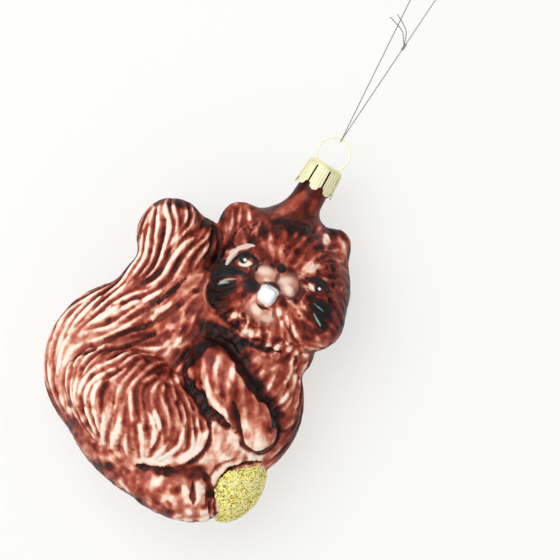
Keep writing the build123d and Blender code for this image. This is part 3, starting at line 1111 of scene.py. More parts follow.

# %% Creases of the mould
# Each crease: its line, its width and its depth, in millimetres, and how dark it is sprayed, which is
# airbrush and painted shade in the crease.
CREASES = {
    "face_edge": ([(-12.8, -37), (-11.5, -42), (-7, -45.6), (0, -46.8), (7, -46.8), (14, -44.5),
                   (19.5, -41)], 1.6, 0.6, 0.22),
    "under_face": ([(-4, -47.8), (2, -48), (8, -48), (14, -45.6)], 1.6, 0.4, 0.9),
    "tail_slot": ([(-17.6, -41.2), (-18.6, -44.6), (-20.8, -50.7)], 1.3, 0.5, 0.95),
    "tail_gap": ([(-15.8, -48.2), (-17.4, -52.4), (-19.9, -57.4)], 1.4, 0.5, 0.95),
    "arm_top": ([(-1.5, -51), (3, -51.3), (8.4, -54.2), (12.7, -56.6), (17.6, -57.8),
                 (21.9, -60.4), (24.6, -64)], 3.2, 0.9, 1.0),
    "arm_left": ([(-1.5, -51), (-5.6, -54.5), (-6.2, -60), (-4.2, -64.3)], 3.2, 0.8, 0.95),
    "arm_low": ([(-4.4, -64.2), (1, -66.6), (6.4, -69.3), (11.6, -69.6)], 3.0, 0.9, 1.0),
    "wrist": ([(10.2, -63), (12.6, -65.6), (15.4, -69.6), (18.2, -72.4), (22.4, -72.6),
               (25.2, -68.4), (24.8, -63.6)], 1.5, 0.7, 1.0),
    "haunch_edge": ([(-3, -66.3), (3, -68), (7.5, -71), (9.9, -75.3), (9.9, -79.3), (7.3, -85),
                     (2, -88.3), (-4, -90.5)], 1.3, 0.6, 1.0),
    "foot_top": ([(-4, -91), (2, -88.8), (4.6, -87.8), (8.4, -85.2), (12.2, -83.4), (15.1, -84.9),
                  (18.3, -89.7), (20.5, -94)], 1.9, 0.6, 0.95),
    "cup_rim": ([(17, -89.5), (14.7, -86), (14.4, -82), (15.6, -78.6), (18.4, -76)],
                0.8, 0.4, 0.5),
    "nut_edge": ([(21.9, -93.2), (18.6, -88.5), (17.3, -83.5), (18.2, -79), (20.8, -76),
                  (24.4, -73.8)], 1.2, 0.5, 1.0),
    "tail_split": ([(-20, -58), (-24, -61), (-28, -66)], 1.1, 0.5, 0.7),
    "haunch_left": ([(-17, -58), (-21, -64), (-27, -68.5), (-31.4, -72), (-33, -75.6)], 1.0, 0.4, 0.6),
    "face_left": ([(-12.2, -24), (-12.8, -30), (-12.9, -37)], 1.5, 0.6, 0.8),
    "toe": ([(11.4, -87.2), (13, -89.3), (14.3, -92)], 1.6, 0.5, 1.0),
    "little_toe": ([(16.4, -88.4), (17.8, -90.9)], 1.1, 0.4, 0.8),
    "left_finger": ([(18.2, -66.5), (20.4, -71.0)], 0.8, 0.08, 0.2),
    "right_finger": ([(21.0, -63.5), (22.6, -67.4)], 0.8, 0.08, 0.25),
    "under_lips": ([(-2.2, -32.6), (0.4, -33.2), (3.6, -31.6), (6.6, -32.6), (9.4, -31.6)],
                   1.0, 0.4, 0.7),
}
BACK_CREASES = ("haunch_edge", "haunch_left", "tail_slot", "tail_gap", "tail_split", "foot_top")
crease = np.zeros(len(skin))
spray_and_shade = np.zeros(len(skin))
# Each crease gets the maker's airbrush and painted shade, both in the same dark.
for name, (line, width, depth, dark) in CREASES.items():
    sides = [front, back] if name in BACK_CREASES else [front]
    for side in sides:
        mask = brush_line(line, width, side, ends=0.45, uneven=0.5)
        crease = np.maximum(crease, mask * depth)
        spray_and_shade = np.maximum(spray_and_shade, mask * dark)
print("creases:", len(CREASES))

# %% Airbrush and painted shade
# Each shade: a line, its width and its strength. They are the maker's airbrush, and also painted shade
# in the creases, between the parts and along the edges.
SHADES = [
    # Over the brow, and the patches beside it
    ([(-6.6, -23.4), (-4.8, -18.4), (-1.6, -15.4), (2, -14.2), (6, -14.4), (9, -16)], 3.0, 0.55),
    ([(11.6, -17.0), (14.2, -19.2), (17.4, -21.8)], 3.4, 0.28),
    ([(-10.4, -22.5), (-8.0, -24.2), (-6.4, -22.8)], 2.0, 0.6),
    # The left cheek, black towards its rim
    ([(-11.4, -34), (-10.6, -38.5), (-8.2, -42.4)], 4.8, 0.8),
    ([(-8.2, -34.6), (-7.4, -38)], 4.6, 0.62),
    ([(-9.4, -38), (-6.8, -41), (-4.4, -42.8)], 4.2, 0.62),
    ([(-4, -45), (2, -45.6)], 2.0, 0.5),
    # The right cheek, and the right side of the head
    ([(14.8, -30), (18.2, -31), (20.6, -34.2)], 4.8, 0.62),
    ([(19.6, -24.5), (22.6, -28.5), (23.8, -33), (23.2, -37)], 4.0, 0.15),
    ([(16.2, -36.2), (19.4, -38.2)], 2.6, 0.35),
    # Beside the nose, and round the muzzle: painted shade beside the lips
    ([(-2.8, -28.4), (-3.1, -31.6)], 1.8, 0.8),
    ([(10.8, -28.6), (11, -32)], 1.6, 0.6),
    ([(-0.8, -33.8), (-3.2, -33.4)], 2.4, 0.75),
    ([(0.2, -27.2), (1.8, -25.2)], 1.6, 0.5),
    ([(5.2, -25.4), (7.8, -26.6)], 1.6, 0.5),
    # Painted shade between the head, the shoulder and the arm
    ([(-6, -50), (-1, -51.2), (4, -50.8), (8, -52.4)], 4.6, 0.8),
    ([(-5.5, -53), (-6.4, -60)], 3.6, 0.6),
    ([(9.4, -53.2), (14, -56.4), (19, -57.8), (22.6, -60.4)], 2.5, 0.58),
    ([(9.8, -63.6), (13.4, -68.4)], 2.0, 0.7),
    # Between the tail and the left ear, and the tail
    ([(-11, -28), (-14, -24), (-17.5, -22)], 2.2, 0.4),
    ([(-34.5, -27.5), (-31, -24.8), (-27, -24.2)], 2.4, 0.7),
    ([(-20.5, -25.5), (-17, -26), (-15.2, -30), (-14.4, -36)], 2.6, 0.6),
    ([(-36.2, -31), (-35, -37), (-32.4, -43.5)], 1.4, 0.3),
    ([(-33.4, -49), (-37.6, -56), (-40.8, -64)], 1.0, 0.2),
    # The lower edge of the body, and the foot
    ([(-33.6, -86.6), (-27, -90.6), (-18, -95.4), (-8, -97.8)], 5.0, 0.34),
    ([(-6, -98.4), (4, -100), (14, -98.4), (20, -95.6)], 2.2, 0.3),
    ([(6.5, -86.2), (12, -83.8)], 2.8, 0.9),
    # The right side of the neck, the ear and the chest
    ([(14.5, -11), (18.5, -16.5), (22.5, -23.5), (24.8, -30), (24.4, -36)], 1.8, 0.3),
    ([(7.5, -10.5), (11.5, -9.8), (14.5, -10.8)], 2.0, 0.6),
    ([(23.2, -47), (27, -56), (29, -64), (28.3, -70)], 2.0, 0.4),
]
SHADE_SPREAD = 1.3
SHADE_PASSES = 3
EDGE_BEGINS = -0.42  # how far the skin still faces forward or back where its edge begins
EDGE_WHOLE = -0.12
# Airbrush and painted shade, softened and added to the dark of the creases.
for line, width, strength in SHADES:
    mask = brush_line(line, width * SHADE_SPREAD, front, ends=0.7, uneven=0.4)
    spray_and_shade = np.maximum(spray_and_shade, softened(mask, SHADE_PASSES) * strength)
edge = smooth_step(-np.abs(outward[:, 1]), EDGE_BEGINS, EDGE_WHOLE)
print("share of the skin sprayed:", round(float((spray_and_shade > 0.3).mean()), 2))

# %% Enamel on the face
BLACK = (0.012, 0.012, 0.014)
CREAM = (0.86, 0.70, 0.58)
WHITE = (0.86, 0.88, 0.90)
# The pale teal of the painted glints on the whiskers.
TEAL_GLINT = (0.30, 0.52, 0.50)
BROWN = (0.075, 0.012, 0.010)
SALMON = (0.72, 0.34, 0.25)
# The orange of painted glints, where the silver shines through thin lacquer.
ORANGE_GLINT = (0.62, 0.10, 0.038)
enamel = np.zeros((len(skin), 4))


def paint(mask, colour, strength=1.0):
    """Lays the colour over what is painted so far."""
    cover = np.clip(mask * strength, 0, 1)[:, None]
    kept = enamel[:, 3:] * (1 - cover)
    total = cover + kept
    enamel[:, :3] = (np.array(colour) * cover + enamel[:, :3] * kept) / np.maximum(total, 1e-6)
    enamel[:, 3:] = total


# Each spot: its middle, its half sizes, its lean, its colour, its strength and how soft it is.
MUZZLE_SPOTS = [
    ((3.4, -28.6), (2.2, 1.2), 0, SALMON, 0.4, 0.7),
    ((0.5, -30.2), (3.0, 2.5), 14, SALMON, 0.62, 0.5),
    # Painted highlights on the left lip
    ((0.0, -29.0), (1.9, 1.0), -20, CREAM, 0.75, 0.7),
    ((1.7, -31.0), (1.0, 0.7), 20, CREAM, 0.7, 0.6),
    ((6.9, -29.4), (3.3, 2.8), -14, SALMON, 0.62, 0.5),
    # Painted highlights on the right lip
    ((5.9, -28.6), (1.7, 0.9), -34, CREAM, 0.65, 0.7),
    ((7.8, -30.3), (1.7, 1.0), 24, CREAM, 0.95, 0.6),
    # Painted shade between the lips and beside them
    ((4.6, -31.0), (0.8, 1.2), 10, BROWN, 0.5, 0.6),
    ((-1.6, -31.4), (1.0, 0.8), -30, BROWN, 0.5, 0.7),
    ((9.6, -29.6), (0.8, 1.6), 10, BROWN, 0.45, 0.7),
    ((4.4, -39.2), (4.2, 2.3), 0, SALMON, 0.7, 0.5),
    # Painted highlights on the chin
    ((3.0, -39.0), (1.6, 1.1), 20, CREAM, 0.8, 0.5),
    ((6.4, -39.8), (1.4, 0.9), -10, CREAM, 0.6, 0.5),
]
# Each line: its corners, its width, its colour and its strength.
BRUSH_LINES = [
    # Painted rim light and glints along the left cheek and the jaw, orange where the silver shines
    # through thin lacquer
    ([(-13.0, -37), (-12.3, -42.2), (-7.4, -46.2), (-1, -47)], 1.5, ORANGE_GLINT, 0.34),
    ([(-12.6, -38.6), (-11.8, -42.0), (-8.6, -45.0)], 0.6, SALMON, 0.55),
    ([(13.4, -44.2), (18.2, -41.2), (21.6, -37.4)], 1.6, ORANGE_GLINT, 0.22),
    ([(-3.4, -41.4), (-1.6, -38.6)], 1.4, ORANGE_GLINT, 0.3),
    ([(-3.6, -37.4), (-2.8, -34.8)], 0.9, ORANGE_GLINT, 0.5),
    # Painted glints on the shoulder and the neck
    ([(-18, -47), (-16.6, -53), (-19, -58)], 4.0, ORANGE_GLINT, 0.22),
    ([(-1.8, -5.6), (-3.0, -9), (-5.6, -14)], 1.9, ORANGE_GLINT, 0.22),
    ([(1.9, -5.4), (2.4, -9)], 1.1, ORANGE_GLINT, 0.12),
    # Brow ridges
    ([(-6.0, -24.6), (-7.8, -25.6), (-9.8, -28.0), (-10.3, -30.6), (-9.9, -32.4)], 1.4, CREAM, 0.75),
    ([(-9.2, -27.8), (-9.8, -31.6)], 1.7, CREAM, 0.5),
    ([(9.4, -23.6), (10.4, -22.0), (11.4, -20.6)], 1.3, CREAM, 0.6),
    # Eyelids
    ([(-9.0, -31.6), (-8.5, -29.4), (-7.1, -27.7), (-4.9, -27.2), (-2.7, -28.1), (-2.2, -30.0)],
     1.5, BLACK, 1.0),
    ([(-8.8, -31.8), (-6.4, -31.6), (-4.2, -30.4)], 0.6, BROWN, 0.9),
    ([(10.4, -25.2), (12.4, -24.4), (15.0, -24.2), (17.0, -25.4)], 2.3, BLACK, 0.95),
    ([(11.6, -27.4), (14, -27.8), (16.8, -27.0)], 0.6, BROWN, 0.9),
    # Whiskers on the left cheek, with a painted glint in teal
    ([(-11.4, -36.6), (-9.6, -34.2), (-6.8, -32.9), (-4.0, -32.4)], 1.8, BLACK, 1.0),
    ([(-9.4, -38.4), (-7.6, -36.4), (-5.2, -35.2)], 1.2, BLACK, 0.95),
    ([(-9.0, -37.4), (-7.4, -35.6), (-5.6, -34.6)], 0.55, SALMON, 0.8),
    ([(-9.2, -38.2), (-7.9, -36.9), (-6.8, -36.4)], 0.4, TEAL_GLINT, 0.9),
    # Whiskers on the right cheek, with painted glints in teal
    ([(13.8, -28.7), (16.8, -28.7), (20, -30.2), (22, -32.0)], 2.0, BLACK, 0.95),
    ([(14.6, -30.9), (17.6, -31.6), (19.8, -33), (21.4, -35)], 1.4, BLACK, 0.9),
    ([(16.6, -32.3), (19.8, -34.2)], 0.55, TEAL_GLINT, 0.75),
    ([(15.4, -29.9), (18.6, -30.5)], 0.35, TEAL_GLINT, 0.5),
    # Painted shade round the lips; the groove under the nose, and the mouth
    ([(-1.4, -27.4), (-2.9, -29.6), (-2.2, -32.4), (0.6, -33.2)], 1.0, BROWN, 0.8),
    ([(8.8, -26.6), (10.6, -28.8), (10.2, -31.6), (7.6, -33)], 1.1, BROWN, 0.8),
    ([(3.3, -27.4), (3.9, -30.4)], 1.4, BROWN, 0.75),
    ([(1.3, -31.7), (3.7, -30.7), (6.0, -31.6)], 1.2, BLACK, 0.9),
    ([(1.9, -37.4), (3.8, -37.9), (5.8, -37.2)], 0.9, BROWN, 1.0),
]
BRUSH_SPOTS = [
    ((-1.4, -34.6), (2.3, 1.8), -10, BLACK, 0.95, 0.4),
    ((7.2, -33.2), (1.1, 1.0), 20, BROWN, 0.9, 0.4),
    ((-5.7, -29.9), (1.75, 0.85), -28, CREAM, 1.0, 0.2),
    ((12.7, -26.5), (1.2, 0.5), 20, CREAM, 1.0, 0.2),
    ((-6.6, -29.25), (1.1, 1.1), 0, BLACK, 1.0, 0.15),
    ((14.4, -26.0), (1.1, 1.05), 0, BLACK, 1.0, 0.15),
    # A painted highlight in each pupil, in white.
    ((-6.2, -29.1), (0.42, 0.38), 0, WHITE, 1.0, 0.25),
    ((14.7, -25.9), (0.38, 0.36), 0, WHITE, 1.0, 0.25),
    ((3.35, -26.3), (1.35, 1.2), 0, BLACK, 1.0, 0.15),
]
TOOTH_MARGIN = 0.12
TOOTH_FADE = 0.35
TOOTH_FRONT = 0.4  # how far before the tooth's middle the paint begins


def paint_spots(spots):
    """Paints the spots one after another."""
    for middle, halves, lean, colour, strength, soft in spots:
        paint(brush_spot(middle, halves, lean, front, soft), colour, strength)


paint_spots(MUZZLE_SPOTS)
for line, width, colour, strength in BRUSH_LINES:
    paint(brush_line(line, width, front, ends=0.35, uneven=0.3), colour, strength)
paint_spots(BRUSH_SPOTS)
tooth_share = smooth_step(-block_distance(*TOOTH, *skin.T), -TOOTH_FADE, -TOOTH_MARGIN)
paint(tooth_share * (skin[:, 1] < TOOTH[0][1] - TOOTH_FRONT), WHITE)
print("share of the skin enamelled:", round(float((enamel[:, 3] > 0.5).mean()), 3))

# %% [markdown]
# ## How much lacquer stays where
#
# The lacquer pools in the grooves. Over the whole figure it was also wiped unevenly, darker on
# the neck, the back of the head and the upper side of each limb, and nearly clean on their
# lower sides. A few given places say how much more or less there is. On the foot and the
# belly it ran together in soft round drops, so its marks are evened out there and the drops are
# added. The grooves are pressed into the mesh last, because enamel fills some of them.

# %% Spread the lacquer
# Each place: right, up, how much thicker the lacquer is (or, below zero, thinner), and how
# strongly the fur shows in it.
WIPED = [
    (-14, -21, 0.16, 1.2), (13, -15, 0.22, 0.8), (3, -20, 0.24, 0.6), (10, -21, 0.17, 0.7),
    (20, -24, 0.24, 0.5), (22, -33, 0.22, 0.5), (3, -24, 0.16, 0.6), (8, -38, -0.08, 1.2),
    (3, -43, 0.06, 1.1), (0, -45.5, 0.12, 0.9), (8, -45.5, 0.12, 0.7), (14, -45, 0.1, 0.7),
    (14, -40, 0.0, 1.1), (19, -38, 0.1, 0.8), (-8, -38, 0.28, 0.2),
    (-5, -42, 0.14, 0.7), (-11, -30, 0.18, 0.5), (-13.5, -43, -0.02, 0.3), (-3, -48, 0.2, 0.6),
    (14, -52, -0.04, 1.0), (22, -56, 0.02, 1.0), (27, -62, 0.2, 0.7), (27, -70, 0.1, 0.7),
    (-10, -52, 0.2, 1.0), (-13, -60, 0.14, 1.1), (-18, -56, 0.1, 1.1), (4, -58, -0.05, 0.8),
    (10, -59, 0.08, 0.75), (15, -62, 0.08, 0.5), (18, -68, -0.32, 0.3), (20, -70.5, -0.4, 0.2),
    (22, -63, 0.08, 0.4),
    (13, -77, -0.2, 0.3), (14, -81, -0.14, 0.4), (16, -84, -0.16, 0.5), (19, -77, -0.1, 0.5),
    (-8, -67, 0.22, 0.7), (-16, -69, 0.09, 0.85), (-10, -72, 0.06, 0.9), (-24, -69, 0.03, 0.9),
    (-24, -77, -0.14, 1.15), (-18, -80, -0.12, 1.15),
    (-8, -79, -0.1, 1.05), (3, -77, -0.07, 1.05), (-6, -87, -0.18, 0.9), (4, -83, -0.12, 1.0),
    (-29, -26, 0.1, 1.1), (-27, -35, 0.0, 1.3), (-18, -30, 0.1, 1.1), (-15, -37, 0.16, 0.8),
    (-28, -45, 0.04, 1.35), (-22, -50, 0.03, 1.35), (-31, -55, 0.02, 1.35), (-36, -62, 0.02, 1.2),
    (-39, -72, -0.22, 0.7), (-38, -80, -0.12, 0.8), (-34, -86, -0.04, 0.75), (-24, -92, 0.04, 0.7),
    (-12, -96, 0.05, 0.7), (0, -97.5, 0.0, 0.7), (4, -92, -0.16, 0.8), (13, -91, -0.1, 0.85),
    (8, -97, -0.1, 0.7), (17, -95, -0.08, 0.7),
]
PLACE_AREA = 4.0  # square millimetres within which a place rules alone
BASE_LACQUER = 0.405
IN_GROOVE = 0.26
ON_RIDGE = 0.40
IN_HOLLOW = 0.24
ON_CREST = 0.52
CREST_BEND = 1.5  # above 1, only the highest crests are wiped clean
AT_EDGE = 0.36
EDGE_LIMIT = 0.86
UNDER_SPRAY_AND_SHADE = 0.62
SPRAY_AND_SHADE_BEND = 1.4
WIPED_SPREAD = 1.2
IN_DROP = 0.3
IN_SPOT = 0.4
SPOTS = 170
SPOT_RADII = (0.5, 1.1)  # mm
# How strongly the cut strokes show beside the streaks; every other coat takes the last one.
COMBED = {"tail": 1.4, "haunch": 1.4, "arm": 0.15, "paw": 0.1, "foot": 0.35, "belly": 0.3,
          "face": 0.85, "chest": 1.1, "collar": 0.9, "": 0.6}
# Clean or dark strokes that stand out: a line, its width, and the change of the lacquer.
WIPED_LINES = [
    ([(-19.3, -41.4), (-20.6, -46), (-25.3, -54.4)], 1.2, -0.28),
    ([(-17.6, -49.2), (-19.0, -52.6), (-21.0, -56.6)], 1.2, -0.5),
    ([(-16.2, -18.9), (-14.4, -22.0), (-13.1, -26.0)], 0.9, -0.5),
    ([(-14.3, -17.5), (-12.4, -22.6)], 0.8, -0.5),
    ([(-11.7, -17.4), (-9.4, -20.7)], 0.9, -0.45),
    ([(9.2, -12.6), (10.6, -15.0)], 1.5, -0.4),
    ([(9.6, -21.0), (9.0, -24.4)], 1.6, -0.25),
    ([(-8.4, -67.2), (-5.4, -65.8)], 1.5, -0.3),
    ([(-2.6, -57.4), (0.4, -62.4), (5.4, -65.6), (10.4, -67.2)], 1.7, -0.3),
    ([(0.4, -54.8), (2.4, -60.2), (6.6, -64.4)], 1.3, -0.26),
    ([(4.8, -55.2), (7.4, -60.0)], 1.2, -0.24),
    ([(6.8, -56.8), (10.4, -62.4)], 1.3, 0.2),
    ([(-0.6, -55.4), (1.6, -61.2), (6.0, -65.4)], 0.9, 0.2),
    ([(2.8, -55.4), (5.0, -60.6), (9.6, -65.6)], 0.9, 0.2),
    ([(8.6, -72.4), (7.6, -75), (7.4, -79.4)], 1.6, -0.3),
    ([(-3, -88.2), (2.0, -86.0), (5.8, -82.8), (7.4, -79)], 1.6, -0.4),
    ([(15.4, -86.2), (15.9, -81.6), (18.6, -77.6), (21.4, -76.2)], 1.3, -0.3),
    ([(20.6, -73.6), (23.2, -73.2)], 1.8, -0.45),
    ([(13.2, -86.8), (15.0, -90.2)], 1.3, -0.45),
    ([(9.6, -88.6), (12.4, -92.6)], 1.3, -0.4),
    ([(-0.4, -45.0), (-1.8, -42.0)], 1.1, -0.25),
]

# Drops of lacquer that dried round and dark: right, up, radius.
DROPS = [
    (-5.9, -93.9, 1.5), (-1.7, -90.2, 1.1), (1.4, -99.2, 1.0), (5.3, -96.0, 1.3), (5.0, -92.6, 1.1),
    (9.0, -90.4, 0.9), (17.2, -91.3, 0.8), (0.6, -96.4, 1.1), (-10.0, -94.6, 1.2), (-15.6, -92.0, 1.1),
    (10.4, -97.2, 1.1), (-6.8, -80.5, 0.9), (-4.9, -79.1, 0.9), (-2.7, -70.5, 1.0),
    (-26.2, -75.9, 0.9), (-21.6, -75.9, 1.0), (-21.4, -88.4, 1.0), (-27.4, -85.6, 0.9),
]

wiped = np.array(WIPED)
weight = nearness(flat_skin, wiped[:, :2], PLACE_AREA)
bias = (weight * wiped[:, 2]).sum(1) / weight.sum(1)
contrast = (weight * wiped[:, 3]).sum(1) / weight.sum(1)
combed = np.array([COMBED.get(name, COMBED[""]) for name in coat_names])[coat_of[owner]]
streak = np.where(flow > 0, ON_CREST * flow**CREST_BEND, IN_HOLLOW * flow)
cut = combed * (IN_GROOVE * groove - ON_RIDGE * ridge)
lacquer = BASE_LACQUER + bias + contrast * (cut - streak)
for line, width, change in WIPED_LINES:
    lacquer += change * brush_line(line, width * WIPED_SPREAD, front, ends=0.4, uneven=0.5)
for place in chance.choice(furred, SPOTS, replace=False):
    radius = chance.uniform(*SPOT_RADII)
    for _, vertex, away in tree_of_skin.find_range(skin[place], radius):
        lacquer[vertex] += IN_SPOT * (1 - (away / radius) ** 3)

# %% Lacquer on the neck, with a painted highlight and a painted shadow under the cap
NECK_LACQUER = 0.76
NECK_CHANGE = 0.24  # how much less it has in the painted highlight down the neck, and how much more in the painted shadow under the cap
NECK_FADES = (-1.7, -0.2)
# Painted shadow under the cap: the heights over which it grows towards the neck's top.
CAP_SHADOW_HEIGHTS = (-5.8, -4.4)
# Painted highlights down the neck's front, where it is given less lacquer.
LEFT_NECK_HIGHLIGHT = [(-1.2, -4), (-2.4, -10), (-5.5, -15.5)]
RIGHT_NECK_HIGHLIGHT = [(1.9, -4), (2.2, -9)]
on_neck = smooth_step(-neck_distance(*skin.T), *NECK_FADES)
neck_highlight = brush_line(LEFT_NECK_HIGHLIGHT, 2.6, front) + 0.5 * brush_line(RIGHT_NECK_HIGHLIGHT, 1.6, front)
cap_shadow = smooth_step(flat_skin[:, 1], *CAP_SHADOW_HEIGHTS)
neck_lacquer = NECK_LACQUER - NECK_CHANGE * neck_highlight + NECK_CHANGE * cap_shadow
lacquer = softened(lacquer * (1 - on_neck) + neck_lacquer * on_neck, 1)
print("share of the skin on the neck:", round(float((on_neck > 0.5).mean()), 3))

# %% Soft drops on the foot, and darker edges
SOFT_COATS = ("foot", "belly")
SOFT_STRENGTH = 0.75
SOFT_RIM_PASSES = 6
SOFT_COAT_PASSES = 7
DROP_SOFTNESS = 0.45
soft_coat = np.isin(coat_of[owner], [coat_names.index(name) for name in SOFT_COATS])
soft_share = softened(soft_coat.astype(float), SOFT_RIM_PASSES) * SOFT_STRENGTH
lacquer = lacquer * (1 - soft_share) + softened(lacquer, SOFT_COAT_PASSES) * soft_share
for right, up, radius in DROPS:
    lacquer += IN_DROP * brush_spot((right, up), (radius, radius), 0, front, DROP_SOFTNESS)
# Darker towards the sides: partly lacquer and airbrush gathered at the edges, partly painted shade for
# the dark reflection on the glass there.
lacquer = np.minimum(lacquer + AT_EDGE * edge, EDGE_LIMIT)
# The airbrush and the painted shade also make the lacquer darker beneath them.
lacquer = np.minimum(lacquer + UNDER_SPRAY_AND_SHADE * spray_and_shade**SPRAY_AND_SHADE_BEND, 1)
print("mean lacquer:", round(float(lacquer.mean()), 2))

# %% Press the relief into the skin
GROOVE_DEPTH = 0.40  # mm
RIDGE_HEIGHT = 0.20
STREAK_HEIGHT = 0.20
EDGE_FLATTER = 0.5
ENAMEL_FILLS = 0.8  # of a groove, how much the enamel fills
ENAMEL_THIN = 0.2  # how well it covers where it begins to fill, and where it fills most
ENAMEL_THICK = 0.8
relief = combed * (GROOVE_DEPTH * groove - RIDGE_HEIGHT * ridge) - STREAK_HEIGHT * flow
depth = relief * (1 - EDGE_FLATTER * edge) + crease
painted_flat = 1 - ENAMEL_FILLS * smooth_step(enamel[:, 3], ENAMEL_THIN, ENAMEL_THICK)
skin_pressed = skin - outward * (depth * painted_flat)[:, None]
print("deepest groove, mm:", round(float(depth.max()), 2))

# %% Make the skin
skin_mesh.vertices.foreach_set("co", in_metres(skin_pressed).ravel())
skin_mesh.update()
shaded_smooth(skin_mesh)
for title, values in (("lacquer", lacquer), ("spray_and_shade", spray_and_shade)):
    layer = skin_mesh.attributes.new(title, "FLOAT", "POINT")
    layer.data.foreach_set("value", values.astype(np.float32))
layer = skin_mesh.attributes.new("enamel", "FLOAT_COLOR", "POINT")
layer.data.foreach_set("color", enamel.astype(np.float32).ravel())
squirrel = link_object("squirrel_glass", skin_mesh)
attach(squirrel, "glass")
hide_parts("glass_body")
print("skin faces:", len(skin_mesh.polygons))

# %% [markdown]
# ## Finishes that several pieces share
#
# Two effects come back on glass, metal and thread: a fine grain that breaks up the gloss, and
# small uneven patches where a finish is worn or tarnished. Each is a node group with named
# inputs, so that every material sets its own size and strength.

# %% Node groups
def new_group(name, inputs, outputs):
    """A shader node group with its sockets, its start node and its end node."""
    group = bpy.data.node_groups.new(name, "ShaderNodeTree")
    for title, value in inputs:
        socket = group.interface.new_socket(title, in_out="INPUT", socket_type="NodeSocketFloat")
        socket.default_value = value
    for title in outputs:
        group.interface.new_socket(title, in_out="OUTPUT", socket_type="NodeSocketFloat")
    start = group.nodes.new("NodeGroupInput")
    finish = group.nodes.new("NodeGroupOutput")
    return group, start.outputs, finish.inputs


def object_noise(group, size, **settings):
    """The value of a noise that stays fixed to its piece."""
    place = add(group, "ShaderNodeTexCoord").outputs["Object"]
    made = add(group, "ShaderNodeTexNoise", {"Vector": place, "Scale": size, **settings})
    return made.outputs[0]


fine_grain, given, result = new_group(
    "fine_grain", [("Size", 900.0), ("Low", 0.25), ("High", 0.45)], ["Value", "Height"]
)
cloud = object_noise(fine_grain, given["Size"], Detail=3.0)
span = add(
    fine_grain,
    "ShaderNodeMapRange",
    {"Value": cloud, "From Min": 0.3, "From Max": 0.7, "To Min": given["Low"],
     "To Max": given["High"]},
)
fine_grain.links.new(span.outputs["Result"], result["Value"])
fine_grain.links.new(cloud, result["Height"])

worn_patches, given, result = new_group(
    "worn_patches", [("Size", 200.0), ("Threshold", 0.55), ("Softness", 0.08)], ["Mask"]
)
cloud = object_noise(worn_patches, given["Size"], Detail=4.0, Roughness=0.6)
upper = maths(worn_patches, "ADD", given["Threshold"], given["Softness"])
patch = add(
    worn_patches,
    "ShaderNodeMapRange",
    {"Value": cloud, "From Min": given["Threshold"], "From Max": upper},
    interpolation_type="SMOOTHSTEP",
)
worn_patches.links.new(patch.outputs["Result"], result["Mask"])


def placed(tree, group, **values):
    """The outputs of a group that is placed in a material with its own values."""
    return add(tree, "ShaderNodeGroup", values, node_tree=group).outputs


print("groups:", fine_grain.name, worn_patches.name)

# %% [markdown]
# ## Lacquered glass
#
# The colour is one scale from wiped-clean cream to pooled near-black, read by how much lacquer
# the skin carries at each point. That amount also holds painted shade on the edges and under the
# cap, and a painted highlight down the neck. Noise moves it a little, as brushed lacquer does.
# The grey of the airbrush and of the painted shade goes over it and the enamel over both; the
# enamel holds some painted highlights and painted shade too. The real surface is a satin one,
# so its gloss is low and its clear coat is faint.

# %% Lacquered glass material
LACQUER_SCALE = [
    (0.0, (0.93, 0.79, 0.69)),
    (0.10, (0.87, 0.62, 0.49)),
    (0.23, (0.69, 0.31, 0.21)),
    (0.36, (0.47, 0.128, 0.080)),
    (0.50, (0.300, 0.048, 0.029)),
    (0.66, (0.160, 0.021, 0.013)),
    (0.82, (0.068, 0.011, 0.008)),
    (1.0, (0.014, 0.005, 0.005)),
]
# The grey of the airbrush and of the painted shade in the creases and between the parts.
SPRAY_AND_SHADE_GREY = (0.017, 0.011, 0.011)


def read_layer(tree, title, output="Fac"):
    """What the mesh carries at each point under the title."""
    return add(tree, "ShaderNodeAttribute", attribute_name=title).outputs[output]


lacquered, tree = new_material("lacquered_glass")
amount = read_layer(tree, "lacquer")
# How much airbrush and painted shade each point carries.
sprayed = read_layer(tree, "spray_and_shade")
brushed = placed(tree, fine_grain, Size=420.0, Low=-0.13, High=0.13)
broad = placed(tree, fine_grain, Size=130.0, Low=-0.10, High=0.10)
moved = maths(tree, "ADD", amount, brushed["Value"])
moved = maths(tree, "ADD", moved, broad["Value"])
colour = ramp(tree, moved, LACQUER_SCALE)
cloudy = placed(tree, worn_patches, Size=260.0, Threshold=0.42, Softness=0.3)
cover = maths(tree, "MULTIPLY_ADD", cloudy["Mask"], 0.3, 0.3)
colour = mixed(tree, maths(tree, "MULTIPLY", sprayed, cover), colour, (*SPRAY_AND_SHADE_GREY, 1))
painted = read_layer(tree, "enamel", "Alpha")
colour = mixed(tree, painted, colour, read_layer(tree, "enamel", "Color"))
gloss = placed(tree, fine_grain, Size=700.0, Low=0.26, High=0.42)
surface(tree, {
    "Base Color": colour,
    "Metallic": 0.0,
    "Specular IOR Level": 0.10,
    "Roughness": gloss["Value"],
    "Normal": bumps(tree, gloss["Height"], 0.12, 0.0003),
    "Coat Weight": 0.05,
    "Coat Roughness": 0.14,
    "Coat IOR": 1.5,
})
skin_mesh.materials.append(lacquered)
print("lacquered glass nodes:", len(tree.nodes))

# %% [markdown]
# ## Glitter coat on the acorn
#
# The nut is dipped in glue and gold glitter. The coat is its own thin solid: what stands proud
# of the grown nut outside the figure. Each point is then pushed in or out at random and the
# faces are left flat, so that every little facet catches the light by itself, as flakes do.

# %% Glitter coat
GLITTER_PITCH = 0.3
GLITTER_THICKNESS = 0.4
FLAKE_STRAY = 0.11
GLITTER_BURIED = 0.3

